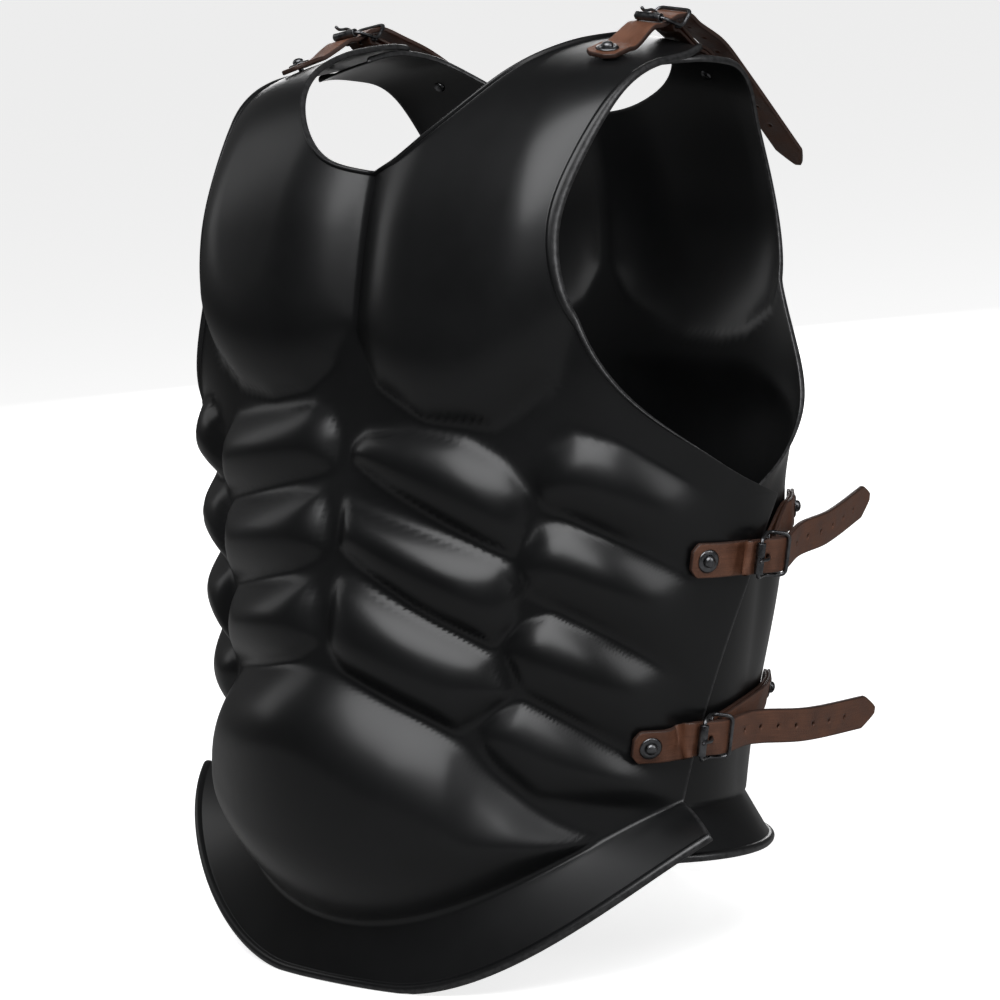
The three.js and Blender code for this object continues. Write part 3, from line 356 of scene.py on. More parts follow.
@dataclass
class Plate:
    """One plate: its pattern wrapped round the torso, with muscles, flange, rolls and thickness."""

    name: str
    spec: PlateSpec
    relief: Callable[[Array, Array], Array]
    columns: tuple[int, int] = (62, 26)
    rows: tuple[int, int] = (70, 84)
    flange_rows: int = 12
    edge_steps: tuple[float, ...] = (0, 0.25, 0.7, 1.4, 2.2, 3, 3.8, 4.6, 5.3, 5.75, 6, 6.6, 8)

    def __post_init__(self) -> None:
        """Solves the splines."""
        spec = self.spec
        self.y, self.z = Spline(spec.y), Spline(spec.z)
        self.half_width, self.depth = Spline(spec.half_width), Spline(spec.depth)
        self.lean, self.middle = Spline(spec.lean), Spline(spec.middle)
        self.side_edge = PatternCurve(spec.side_edge, 1)
        self.armhole = PatternCurve(spec.armhole, ARMHOLE_SPACING)
        self.neckline = PatternCurve(spec.neckline, 1)
        self.low, self.high = spec.side_edge[0], spec.armhole[-1]

    def fold(self, phi: Array | float) -> Array:
        """Returns the height of the waist fold at angles round the body."""
        return self.spec.fold(np.abs(np.sin(np.radians(phi))))

    def base(self, phi: Array, t: Array) -> Array:
        """Returns points of the plain plate.

        Args:
            phi: Degrees round from the middle.
            t: Distances up the plate.

        Returns:
            Upright points in mm.
        """
        deep = self.depth(t) * (1 - np.cos(np.radians(phi)))
        lean = np.radians(self.lean(t))
        return np.stack([self.half_width(t) * np.sin(np.radians(phi)),
                         self.spec.side * (self.y(t) + deep * np.cos(lean)),
                         self.z(t) - deep * np.sin(lean)], axis=-1)

    def normal(self, phi: Array, t: Array, step: float = 0.05) -> Array:
        """Returns outward normals of the plain plate."""
        across = self.base(phi + step, t) - self.base(phi - step, t)
        along = self.base(phi, t + step) - self.base(phi, t - step)
        return unit(np.cross(across, along) * self.spec.side)

    def body(self, phi: Array, t: Array, lift: Array | float) -> Array:
        """Returns points over the beaten plate, lift mm over its middle surface."""
        height = lift + self.relief(phi, t)
        return self.base(phi, t) + self.normal(phi, t) * np.asarray(height)[..., None]

    def outward(self, phi: float, t: float) -> Vector:
        """Returns the outward direction with the muscles on, taken over a few mm."""
        across = self.body(phi + 1.5, t, 0) - self.body(phi - 1.5, t, 0)
        along = self.body(phi, t + 5, 0) - self.body(phi, t - 5, 0)
        return Vector(unit(np.cross(across, along) * self.spec.side))

    def flange(self, phi: Array, w: Array, lift: Array) -> Array:
        """Returns points of the flange; w runs from 0 at the fold to 1 at the rim."""
        spec = self.spec

        def lines(angle: Array) -> tuple[Array, Array]:
            """Returns fold and rim points at angles."""
            s, c = np.sin(np.radians(angle)), np.cos(np.radians(angle))
            rim = np.stack([spec.rim_width * s, -spec.side * spec.rim_depth * c,
                            spec.rim(np.abs(s)) - FLOOR_DRESS + 0 * s], axis=-1)
            return self.base(angle, self.fold(angle)), rim

        fold, rim = lines(phi)
        fold2, rim2 = lines(phi + 0.1)
        w = np.asarray(w)[..., None]
        across = (fold2 + (rim2 - fold2) * w) - (fold + (rim - fold) * w)
        normal = unit(np.cross(rim - fold, across) * spec.side)
        return fold + (rim - fold) * w + normal * np.asarray(lift)[..., None]

    def place(self, a: Array, b: Array) -> tuple[Array, Array]:
        """Returns pattern points of the body grid.

        Args:
            a: Places across, -1 to 1.
            b: Places up, 0 to 1.

        Returns:
            Degrees and t.
        """
        side = np.abs(a)
        below = self.side_edge(np.minimum(b / CORNER_ROW, 1))
        above = self.armhole(np.clip((b - CORNER_ROW) / (1 - CORNER_ROW), 0, 1))
        right = [np.where(b < CORNER_ROW, below[k], above[k]) for k in (0, 1)]
        neck = self.neckline(np.minimum(side / NECK_COLUMN, 1))
        end = self.neckline(1.0)
        past = np.clip((side - NECK_COLUMN) / (1 - NECK_COLUMN), 0, 1)
        top = [np.where(side < NECK_COLUMN, neck[k], end[k] + (self.high[k] - end[k]) * past)
               for k in (0, 1)]
        foot = self.fold(self.low[0])
        phi = (side * right[0] + (1 - b) * side * self.low[0] + b * top[0]
               - side * (1 - b) * self.low[0] - side * b * self.high[0])
        t = ((1 - side) * self.middle(b) + side * right[1] + (1 - b) * self.fold(side * self.low[0])
             + b * top[1] - (1 - side) * (1 - b) * self.fold(0.0) - side * (1 - b) * foot
             - (1 - side) * b * self.spec.neckline[0][1] - side * b * self.high[1])
        return np.sign(a) * phi, t

    @staticmethod
    def wall_lift(du: Array, dv: Array, roll_u: Array, roll_v: Array, outside: bool) -> Array:
        """Returns the height of the wall's face near its edges.

        Args:
            du: Distances from the side edge in mm.
            dv: Distances from the end edge in mm.
            roll_u: Sizes of the side edge's roll, 0 to 1.
            roll_v: Sizes of the end edge's roll, 0 to 1.
            outside: Whether the outer face is meant.

        Returns:
            Lifts over the middle surface.
        """
        def rounded(d: Array, r: float) -> Array:
            """Returns a quarter round's height, 0 to 1, at distances from its edge."""
            return np.sqrt(np.maximum(0, 1 - (1 - np.minimum(d, r) / r) ** 2))

        plain = (SHEET / 2) * rounded(np.minimum(du, dv), SHEET / 2)
        if not outside:
            return -plain

        def bead(d: Array, other: Array, size: Array) -> Array:
            """Returns the half-round roll's height at distances from its own edge."""
            ring = np.sqrt(np.maximum(0, 1 - (d / ROLL_RADIUS - 1) ** 2))
            return size * ROLL_RADIUS * np.where(d < 2 * ROLL_RADIUS, ring, 0) * rounded(
                other, SHEET / 2)

        return np.maximum(plain, np.maximum(bead(du, dv, roll_u), bead(dv, du, roll_v)))

    def column_line(self) -> Line:
        """Returns the grid's columns from the right edge to the left."""
        inside, outside = self.columns
        parts = [NECK_COLUMN * i / inside for i in range(1, inside + 1)]
        beyond = [0.0] * inside + [i / outside for i in range(1, outside + 1)]
        parts += [NECK_COLUMN] * outside
        edges = list(reversed(self.edge_steps[:-1]))
        parts += [1.0] * len(edges)
        beyond += [0.0] * len(edges)
        near = [FAR] * (inside + outside) + edges
        part = np.array([-p for p in reversed(parts)] + [0.0] + parts)
        return Line(part, np.array(beyond[::-1] + [0.0] + beyond), np.array(near[::-1] + [FAR] + near))

    def row_line(self) -> tuple[Array, Array, Array]:
        """Returns the grid's rows from the rim up: flange w (or -1), body b and edge distance."""
        margin = self.edge_steps[-1]
        w = [1 - d / FLANGE_LENGTH for d in self.edge_steps]
        d = list(self.edge_steps)
        w += [(1 - margin / FLANGE_LENGTH) * (1 - i / self.flange_rows)
              for i in range(1, self.flange_rows)]
        d += [FAR] * (self.flange_rows - 1)
        b = [0.0] * len(w)
        high = self.high[1] - float(self.fold(0.0))
        top = 1 - margin / high - CORNER_ROW
        low, up = self.rows
        b += [CORNER_ROW * i / low for i in range(low)]
        b += [CORNER_ROW + top * i / up for i in range(up + 1)]
        edges = list(reversed(self.edge_steps[:-1]))
        b += [1 - e / high for e in edges]
        w += [-1.0] * (len(b) - len(w))
        d += [FAR] * (low + up + 1) + edges
        return np.array(w), np.array(b), np.array(d)

    def face(self, outside: bool) -> tuple[Array, Array]:
        """Returns the grid points of one face and their distance from a rolled edge.

        Args:
            outside: Whether the outer face is meant.

        Returns:
            Points by row and column, and distances by row and column.
        """
        line = self.column_line()
        w, b, d = self.row_line()
        rows, columns = len(w), len(line.part)
        flat = w >= 0
        sign = np.sign(line.part)[None, :]
        wide = np.where(flat, self.low[0] - self.spec.flange_end * w, self.place(np.ones(rows), b)[0])
        width = DEG_TO_MM * wide[:, None]
        inner = 1 - self.edge_steps[-1] / width
        from_edge = sign * (1 - line.edge / width)
        spaced = line.part + sign * line.beyond * (inner - NECK_COLUMN)
        a = np.where(line.edge < FAR, from_edge, spaced)
        du = np.broadcast_to(line.edge, (rows, columns))
        dv = np.broadcast_to(d[:, None], (rows, columns))
        grid_b = np.broadcast_to(b[:, None], (rows, columns))
        phi, t = self.place(a, grid_b)
        roll_u = smooth(grid_b, CORNER_ROW + 0.02, CORNER_ROW + 0.14)
        roll_v = np.where(np.abs(a) < NECK_COLUMN + 1e-6, 1.0, 0.0)
        body = self.body(phi, t, self.wall_lift(du, dv, roll_u, roll_v, outside))
        angle = a * wide[:, None]
        grid_w = np.broadcast_to(np.maximum(w, 0)[:, None], (rows, columns))
        skirt = self.flange(angle, grid_w, self.wall_lift(du, dv, 0 * du, 1 + 0 * du, outside))
        points = np.where(flat[:, None, None], skirt, body)
        return self.stand(points), np.minimum(du, dv)

    @staticmethod
    def stand(points: Array) -> Array:
        """Returns points with those under the leaning part's floor moved up to it."""
        up = np.array([0.0, -math.sin(LEAN), math.cos(LEAN)])
        depth = (points[..., 1] - FRONT_FOOT) * up[1] + points[..., 2] * up[2]
        return points - np.minimum(depth, 0)[..., None] * up

    def build(self) -> bpy.types.Object:
        """Makes the plate's closed wall.

        Returns:
            The plate.
        """
        bm = bmesh.new()
        layer = bm.verts.layers.float.new("edge_distance")
        for outside in (True, False):
            points, near = self.face(outside)
            rows, columns = near.shape
            made = bmesh.ops.create_grid(bm, x_segments=columns - 1, y_segments=rows - 1, size=1)
            for vert in made["verts"]:
                i = round((vert.co.y + 1) / 2 * (rows - 1))
                j = round((vert.co.x + 1) / 2 * (columns - 1))
                vert[layer] = near[i, j]
                vert.co = Vector(points[i, j]) + Vector((0, 0, 0 if outside else 1e-9))
        bmesh.ops.remove_doubles(bm, verts=bm.verts, dist=1e-4)
        bm.transform(ROW)
        bmesh.ops.recalc_face_normals(bm, faces=bm.faces)
        return finish_piece(bm, self.name)


def finish_piece(bm: bmesh.types.BMesh, name: str, mirrored: bool = False) -> bpy.types.Object:
    """Turns a mesh into an object of the scene, smooth shaded.

    Args:
        bm: The mesh, in place, in metres.
        name: Name of the piece.
        mirrored: Whether it is mirrored to the wearer's right.

    Returns:
        The new object.
    """
    if mirrored:
        bm.transform(Matrix.Scale(-1, 4, (1, 0, 0)))
        bmesh.ops.reverse_faces(bm, faces=bm.faces)
    for face in bm.faces:
        face.smooth = True
    mesh = bpy.data.meshes.new(name)
    bm.to_mesh(mesh)
    bm.free()
    obj = bpy.data.objects.new(name, mesh)
    bpy.context.scene.collection.objects.link(obj)
    return obj


# ---- fastenings ------------------------------------------------------------------------------

@dataclass(frozen=True)
class Seat:
    """Place and outward direction of a rivet on a plate."""

    at: Vector
    out: Vector


@dataclass
class Route:
    """Middle line of a leather strip with the direction of its width."""

    points: list[Vector]
    widths: list[Vector]
    length: float = 0.0

    def __post_init__(self) -> None:
        """Rounds the line and measures it."""
        place = [np.array(p) for p in self.points]
        wide = [np.array(w) for w in self.widths]
        fine, sides = [], []
        for i in range(len(place) - 1):
            p = [place[max(i - 1, 0)], place[i], place[i + 1], place[min(i + 2, len(place) - 1)]]
            chord = np.linalg.norm(p[2] - p[1])
            before = (p[2] - p[0]) * chord / max(
                np.linalg.norm(p[1] - p[0]) + chord, 1e-6)
            after = (p[3] - p[1]) * chord / max(
                np.linalg.norm(p[3] - p[2]) + chord, 1e-6)
            for u in np.linspace(0, 1, 24, endpoint=i == len(place) - 2):
                fine.append((2 * u ** 3 - 3 * u ** 2 + 1) * p[1] + (u ** 3 - 2 * u ** 2 + u) * before
                            + (3 * u ** 2 - 2 * u ** 3) * p[2] + (u ** 3 - u ** 2) * after)
                ease = u * u * (3 - 2 * u)
                sides.append(wide[i] * (1 - ease) + wide[i + 1] * ease)
        self.fine = np.array(fine)
        steps = np.linalg.norm(np.diff(self.fine, axis=0), axis=1)
        self.at = np.concatenate([[0], np.cumsum(steps)])
        self.length = float(self.at[-1])
        along = unit(np.gradient(self.fine, axis=0))
        self.up = unit(np.cross(along, np.array(sides)))
        self.across = np.cross(self.up, along)
        self.along = along

    def bend(self, flat: Array) -> Array:
        """Returns points of a flat strip wrapped on to the route.

        Args:
            flat: Points as (along, across, over the middle), in mm.

        Returns:
            Upright points in mm.
        """
        def pick(values: Array) -> Array:
            """Returns values of the route at the points' places along it."""
            return np.stack([np.interp(flat[:, 0], self.at, values[:, k]) for k in range(3)], -1)

        over = np.maximum(flat[:, 0] - self.length, 0) + np.minimum(flat[:, 0], 0)
        return (pick(self.fine) + pick(self.along) * over[:, None]
                + unit(pick(self.across)) * flat[:, 1:2] + unit(pick(self.up)) * flat[:, 2:3])


@dataclass
class Strip:
    """A cut leather strip: outline, thickness, punched holes and slot."""

    name: str
    route: Route
    half: float
    thick: float
    round_start: float
    point_length: float = 0.0
    round_end: float = 0.0
    holes: list[tuple[float, float]] = field(default_factory=list)
    slot: tuple[float, float, float] | None = None
    past: float = 0.0
    step: float = 1.6

    def outline(self, s: Array) -> Array:
        """Returns the half width at distances along the strip."""
        length = self.route.length + self.past
        start = smooth(s, -0.35 * self.round_start, self.round_start)
        left = np.clip((length - s) / max(self.point_length or self.round_end, 1e-6), 0, 1)
        blunt = 0.42 + 0.58 * start
        if self.point_length:
            tip = 0.2 + 0.8 * left ** 0.85
        else:
            tip = 0.5 + 0.5 * np.sqrt(np.maximum(0, 1 - (1 - left) ** 2))
        return self.half * blunt * tip

    def build(self, mirrored: bool) -> bpy.types.Object:
        """Cuts, punches, bends and places the strip.

        Args:
            mirrored: Whether it is on the wearer's right.

        Returns:
            The strip.
        """
        length = self.route.length + self.past
        count = max(12, round(length / self.step))
        bm = bmesh.new()
        bmesh.ops.create_grid(bm, x_segments=count, y_segments=8, size=1)
        for vert in bm.verts:
            s = (vert.co.x + 1) / 2 * length
            vert.co = Vector((s, vert.co.y * float(self.outline(np.array(s))), -self.thick / 2))
        raised = bmesh.ops.extrude_face_region(bm, geom=list(bm.faces))
        top = [g for g in raised["geom"] if isinstance(g, bmesh.types.BMVert)]
        bmesh.ops.translate(bm, verts=top, vec=(0, 0, self.thick))
        bmesh.ops.recalc_face_normals(bm, faces=bm.faces)
        sharp = [e for e in bm.edges if len(e.link_faces) == 2 and e.calc_face_angle() > 1.2]
        bmesh.ops.bevel(bm, geom=sharp, offset=min(0.8, self.thick * 0.3), segments=3,
                        profile=0.5, affect="EDGES", material=-1)
        punches = self.punches()
        if punches:
            bm = punched(bm, punches)
        layer = bm.verts.layers.float_vector.new("flat")
        flat = np.array([v.co[:] for v in bm.verts])
        placed = self.route.bend(flat)
        wide = np.maximum(self.outline(flat[:, 0]), 0.1)
        for vert, point, own, half in zip(bm.verts, placed, flat, wide):
            inside = min(half - abs(own[1]), own[0], length - own[0])
            vert[layer] = Vector((own[0] * MM, own[1] * MM, max(0.0, inside) * MM))
            vert.co = point
        bm.transform(ROW)
        return finish_piece(bm, self.name, mirrored)

    def punches(self) -> list[tuple[float, float, float, float]]:
        """Returns punched places as (along, half length, half width, side count)."""
        made = [(s, r, r, 20.0) for s, r in self.holes]
        if self.slot:
            low, high, half = self.slot
            made.append(((low + high) / 2, (high - low) / 2, half, 24.0))
        return made


def punched(bm: bmesh.types.BMesh, places: Sequence[tuple[float, float, float, float]]
            ) -> bmesh.types.BMesh:
    """Cuts holes through a flat strip.

    Args:
        bm: The strip, lying flat.
        places: Holes as (along, half length, half width, side count).

    Returns:
        The cut strip.
    """
    tool = bmesh.new()
    for along, long, wide, sides in places:
        made = bmesh.ops.create_cone(tool, cap_ends=True, segments=int(sides), radius1=1,
                                     radius2=1, depth=20)
        bmesh.ops.scale(tool, verts=made["verts"], vec=(long, wide, 1))
        bmesh.ops.translate(tool, verts=made["verts"], vec=(along, 0, 0))
    objects = []
    for name, source in (("strip_blank", bm), ("strip_punch", tool)):
        mesh = bpy.data.meshes.new(name)
        source.to_mesh(mesh)
        source.free()
        obj = bpy.data.objects.new(name, mesh)
        bpy.context.scene.collection.objects.link(obj)
        objects.append(obj)
    blank, cutter = objects
    cut = blank.modifiers.new("punch", "BOOLEAN")
    cut.operation = "DIFFERENCE"
    cut.object = cutter
    cut.solver = "EXACT"
    graph = bpy.context.evaluated_depsgraph_get()
    result = bmesh.new()
    result.from_object(blank, graph)
    for obj in objects:
        mesh = obj.data
        bpy.data.objects.remove(obj)
        bpy.data.meshes.remove(mesh)
    bmesh.ops.triangulate(result, faces=[f for f in result.faces if len(f.verts) > 4])
    return result


def wire_along(points: Sequence[Vector], radius: float, looped: bool, sides: int = 14
               ) -> bmesh.types.BMesh:
    """Draws round wire along a line.

    Args:
        points: The line in mm.
        radius: Radius of the wire.
        looped: Whether the line closes on itself.
        sides: Sides of the wire's section.

    Returns:
        The wire as a closed mesh.
    """
    bm = bmesh.new()
    count = len(points)
    ring: list[bmesh.types.BMEdge] = []
    first: list[bmesh.types.BMEdge] = []
    guide = Vector((0, 0, 1))
    previous = Matrix.Identity(4)
    for i, point in enumerate(points):
        ahead = points[(i + 1) % count] if looped or i < count - 1 else point
        behind = points[i - 1] if looped or i > 0 else point
        along = (ahead - behind).normalized()
        side = guide - along * guide.dot(along)
        if side.length < 1e-4:
            side = along.orthogonal()
        side.normalize()
        guide = side
        basis = Matrix((side, along.cross(side), along)).transposed().to_4x4()
        placed = Matrix.Translation(point) @ basis
        if i == 0:
            made = bmesh.ops.create_circle(bm, segments=sides, radius=radius, cap_ends=False)
            bmesh.ops.transform(bm, matrix=placed, verts=made["verts"])
            ring = list({e for v in made["verts"] for e in v.link_edges})
            first = ring
        else:
            made = bmesh.ops.extrude_edge_only(bm, edges=ring)
            verts = [g for g in made["geom"] if isinstance(g, bmesh.types.BMVert)]
            ring = [g for g in made["geom"] if isinstance(g, bmesh.types.BMEdge)]
            bmesh.ops.transform(bm, matrix=placed @ previous.inverted(), verts=verts)
        previous = placed
    if looped:
        bmesh.ops.bridge_loops(bm, edges=ring + first)
    else:
        for loop in (first, ring):
            capped = bmesh.ops.edgeloop_fill(bm, edges=loop)
            bmesh.ops.inset_region(bm, faces=capped["faces"], thickness=radius * 0.3,
                                   depth=radius * 0.25, use_even_offset=True)
    bmesh.ops.recalc_face_normals(bm, faces=bm.faces)
    return bm


def rounded_line(corners: Sequence[Vector], radius: float, looped: bool, steps: int = 6
                 ) -> list[Vector]:
    """Returns a line with its corners rounded.

    Args:
        corners: The corners in order.
        radius: Distance from each corner where its rounding starts.
        looped: Whether the line closes on itself.
        steps: Points in each rounding.

    Returns:
        The rounded line's points.
    """
    out: list[Vector] = []
    count = len(corners)
    for i, corner in enumerate(corners):
        if not looped and i in (0, count - 1):
            out.append(corner.copy())
            continue
        back = corners[i - 1] - corner
        on = corners[(i + 1) % count] - corner
        start = corner + back.normalized() * min(radius, back.length * 0.45)
        end = corner + on.normalized() * min(radius, on.length * 0.45)
        for k in range(steps + 1):
            u = k / steps
            out.append(start * (1 - u) ** 2 + corner * 2 * u * (1 - u) + end * u ** 2)
    return out


def lathe(outline: Sequence[tuple[float, float]], steps: int = 40, bevel: float = 0.0
          ) -> bmesh.types.BMesh:
    """Turns an outline about Z.

    Args:
        outline: (radius, height) points from end to end, or closed where the first is repeated.
        steps: Steps of the turn.
        bevel: Size of the rounding of its sharp edges.

    Returns:
        The turned shape.
    """
    bm = bmesh.new()
    closed = outline[0] == outline[-1]
    points = outline[:-1] if closed else outline
    verts = [bm.verts.new((r, 0, z)) for r, z in points]
    edges = [bm.edges.new(pair) for pair in zip(verts, verts[1:])]
    if closed:
        edges.append(bm.edges.new((verts[-1], verts[0])))
    bmesh.ops.spin(bm, geom=verts + edges, cent=(0, 0, 0), axis=(0, 0, 1), angle=2 * math.pi,
                   steps=steps, use_merge=True, dvec=(0, 0, 0))
    bmesh.ops.remove_doubles(bm, verts=bm.verts, dist=1e-4)
    bmesh.ops.recalc_face_normals(bm, faces=bm.faces)
    if bevel:
        sharp = [e for e in bm.edges if len(e.link_faces) == 2 and e.calc_face_angle() > 0.9]
        bmesh.ops.bevel(bm, geom=sharp, offset=bevel, segments=3, profile=0.5, affect="EDGES",
                        material=-1)
    return bm


@dataclass(frozen=True)
class FasteningSpec:
    """Where one pair of fastenings sits, for the wearer's left, in mm and pattern points."""

    name: str
    front: tuple[float, float]
    front_end: tuple[float, float]
    back: tuple[float, float]
    back_end: tuple[float, float]
    roller: tuple[float, float, float]
    along: tuple[float, float, float]
    width: tuple[float, float, float]
    tail: tuple[tuple[float, float, float], ...]


SHOULDER = FasteningSpec(
    "shoulder", (38.6, 592), (38.6, 608), (33.5, 566), (36, 606), (126, 1, 574.3), (0, 1, 0.17),
    (-0.99, 0, 0.139), ((123.5, 40, 577.5), (121, 66, 568.5), (117.5, 90, 554.5), (116, 158, 500)))
UPPER_SIDE = FasteningSpec(
    "upper_side", (74.3, 260.5), (86, 260.5), (60, 286), (70, 281), (211.3, -5, 261),
    (-0.02, 1, 0.05), (0.17, 0.05, 0.98), ((206, 46, 268), (198, 85, 272.5), (180, 148, 285)))
LOWER_SIDE = FasteningSpec(
    "lower_side", (67.2, 152), (74.5, 152.5), (57, 174), (84, 162), (190, -31, 154.5),
    (-0.02, 1, 0), (0.14, 0, 0.99), ((188, 24, 155.5), (187, 80, 151.5), (182, 150, 152)))


@dataclass
class Fastening:
    """One strap with its buckle, chape, rivets and washers on one side of the wearer."""

    spec: FasteningSpec
    side: Side
    front_plate: Plate
    back_plate: Plate
    hole_count: int = 9
    hole_spacing: float = 18.0
    hole_radius: float = 1.5
    washer_radius: float = 7.0
    head_radius: float = 3.6

    def __post_init__(self) -> None:
        """Sets up the buckle's own frame and the rivets' seats."""
        along = Vector(self.spec.along).normalized()
        wide = Vector(self.spec.width)
        out = along.cross(wide).normalized()
        self.width = out.cross(along)
        self.out = out
        basis = Matrix((along, self.width, out)).transposed().to_4x4()
        self.frame = Matrix.Translation(Vector(self.spec.roller)) @ basis
        self.front_seat = self.seat(self.front_plate, self.spec.front)
        self.back_seat = self.seat(self.back_plate, self.spec.back)

    @property
    def name(self) -> str:
        """Name that its pieces start with."""
        return f"{self.spec.name}_{self.side.name.lower()}"

    @property
    def mirrored(self) -> bool:
        """Whether it is on the wearer's right."""
        return self.side is Side.RIGHT

    def seat(self, plate: Plate, place: tuple[float, float]) -> Seat:
        """Returns the seat at a pattern point of this side's plate, turned to the left side."""
        sign = self.side.value
        flip = Matrix.Diagonal((sign, 1, 1))
        phi, t = sign * place[0], place[1]
        return Seat(flip @ Vector(plate.body(phi, t, 0)), flip @ plate.outward(phi, t))

    def local(self, along: float, outward: float, across: float = 0.0) -> Vector:
        """Returns a point given in the buckle's own frame."""
        return self.frame @ Vector((along, across, outward))

    def same_way(self, width: Vector) -> Vector:
        """Returns a width direction turned to the buckle's own."""
        return width.normalized() * (1 if width.dot(self.width) >= 0 else -1)

    def over_plate(self, plate: Plate, start: tuple[float, float], end: tuple[float, float],
                   lift: float, parts: Sequence[float]) -> list[tuple[Vector, Vector]]:
        """Returns points over a plate between two pattern points, with width directions."""
        way = self.seat(plate, end).at - self.seat(plate, start).at
        out = []
        for part in parts:
            phi = start[0] + (end[0] - start[0]) * part
            t = start[1] + (end[1] - start[1]) * part
            seat = self.seat(plate, (phi, t))
            out.append((seat.at + seat.out * lift, self.same_way(seat.out.cross(way))))
        return out

    def round_rivet(self, seat: Seat, toward: Vector, lift: float, distances: Sequence[float]
                    ) -> list[tuple[Vector, Vector]]:
        """Returns points on the flat round a rivet, with width directions."""
        flat = toward - seat.at
        flat = (flat - seat.out * flat.dot(seat.out)).normalized()
        width = self.same_way(seat.out.cross(flat))
        return [(seat.at + seat.out * lift + flat * d, width) for d in distances]

    def strap(self) -> bpy.types.Object:
        """Makes the long strap with its row of holes."""
        spec = self.spec
        lift = SHEET / 2 + GAP + STRAP_THICK / 2 + STRAP_REST
        over = self.over_plate(self.front_plate, spec.front, spec.front_end, lift, [1])
        line = self.round_rivet(self.front_seat, over[0][0], lift, [-11, -8, 0, 8]) + over
        free = [(-7, 0), (0, 0), (7, 1.5), (15, 3.6), (21, 3.6), (27, 3.2)]
        line += [(self.local(s, n), self.width) for s, n in free]
        to_far = Route([p for p, _ in line], [w for _, w in line]).length
        line += [(Vector(p), self.width) for p in spec.tail]
        route = Route([p for p, _ in line], [w for _, w in line])
        pin = to_far - 18.0
        holes = [(11.0, SHANK_RADIUS + 0.5)]
        holes += [(pin + self.hole_spacing * i, self.hole_radius) for i in range(self.hole_count)
                  if pin + self.hole_spacing * i < route.length - 14]
        strip = Strip(f"{self.name}_strap", route, STRAP_WIDTH / 2, STRAP_THICK, 5.0,
                      point_length=14.0, holes=holes, past=8.0)
        return strip.build(self.mirrored)

    def chape(self) -> bpy.types.Object:
        """Makes the leather folded round the buckle's centre bar."""
        spec = self.spec
        s, n = CENTRE_BAR
        bend = WIRE / 2 + 1.7 * GAP + CHAPE_THICK / 2
        low = SHEET / 2 + GAP + CHAPE_THICK / 2 + STRAP_REST
        high = low + CHAPE_THICK + GAP

        def layer(lift: float) -> list[tuple[Vector, Vector]]:
            """Returns one layer's line from its riveted end to the buckle."""
            over = self.over_plate(self.back_plate, spec.back, spec.back_end, lift, [0.4, 0.7, 1])
            return self.round_rivet(self.back_seat, over[1][0], lift, [-9, -5, 0, 7]) + over

        turn = [(self.local(s + bend * math.cos(a), n + bend * math.sin(a)), self.width)
                for a in np.radians([-60, -90, -120, -150, -180, -210, -240, -270, -300])]
        # the turned leather's upper layer comes back flipped over
        under, over = layer(low), layer(high)
        line = under + turn + list(reversed(over))
        route = Route([p for p, _ in line], [w for _, w in line])
        middle = Route([p for p, _ in under + turn[:5]], [w for _, w in under + turn[:5]]).length
        holes = [(9.0, SHANK_RADIUS + 0.5), (route.length - 9.0, SHANK_RADIUS + 0.5)]
        strip = Strip(f"{self.name}_chape", route, STRAP_WIDTH / 2 - 1, CHAPE_THICK, 4.0,
                      round_end=4.0, holes=holes, slot=(middle - 8.5, middle + 8.5, 1.7), step=1.1)
        return strip.build(self.mirrored)

    def buckle_frame(self) -> bpy.types.Object:
        """Makes the bent wire frame with its centre bar."""
        def ends(bar: tuple[float, float], half: float) -> tuple[Vector, Vector]:
            """Returns both ends of a bar across the buckle."""
            return self.local(*bar, -half), self.local(*bar, half)

        axle = ends(AXLE, AXLE_HALF)
        centre = ends(CENTRE_BAR, CENTRE_HALF)
        far = ends(FAR_BAR, FAR_HALF)
        loop = [axle[0], centre[0], far[0], far[1], centre[1], axle[1]]
        bm = wire_along(rounded_line(loop, 4.0, True), WIRE / 2, True)
        bar = wire_along([centre[0].lerp(centre[1], u) for u in (0.04, 0.35, 0.65, 0.96)],
                         WIRE / 2 * 0.98, False)
        join(bm, bar)
        bm.transform(ROW)
        return finish_piece(bm, f"{self.name}_buckle_frame", self.mirrored)

    def buckle_roller(self) -> bpy.types.Object:
        """Makes the sleeve that turns on the buckle's axle."""
        half = STRAP_WIDTH / 2 - 1.2
        inner = WIRE / 2 + 0.3
        outline = [(inner, -half), (ROLLER_RADIUS, -half), (ROLLER_RADIUS, half), (inner, half),
                   (inner, -half)]
        bm = lathe(outline, bevel=0.28)
        turned = Matrix.Rotation(math.pi / 2, 4, "X")
        bm.transform(ROW @ self.frame @ Matrix.Translation((AXLE[0], 0, AXLE[1])) @ turned)
        return finish_piece(bm, f"{self.name}_buckle_roller", self.mirrored)

    def buckle_tongue(self) -> bpy.types.Object:
        """Makes the tongue, hooked round the centre bar and lying on the roller."""
        s, n = CENTRE_BAR
        loop = WIRE / 2 + GAP + TONGUE_WIRE / 2
        ring = [(s + loop * math.cos(a), n + loop * math.sin(a))
                for a in np.radians([-80, -45, -10, 25, 60, 90, 120])]
        over = AXLE[1] + ROLLER_RADIUS + TONGUE_WIRE / 2 + 0.15
        way = [self.local(*p) for p in ring + [(9, 4.6), (3, over - 0.2), (-2, over), (-5, over + 0.6),
                                               (-7.5, over + 3.0)]]
        route = Route(way, [self.width] * len(way))
        line = [Vector(p) for p in route.fine[::6]]
        bm = wire_along(line, TONGUE_WIRE / 2, False)
        bm.transform(ROW)
        return finish_piece(bm, f"{self.name}_buckle_tongue", self.mirrored)

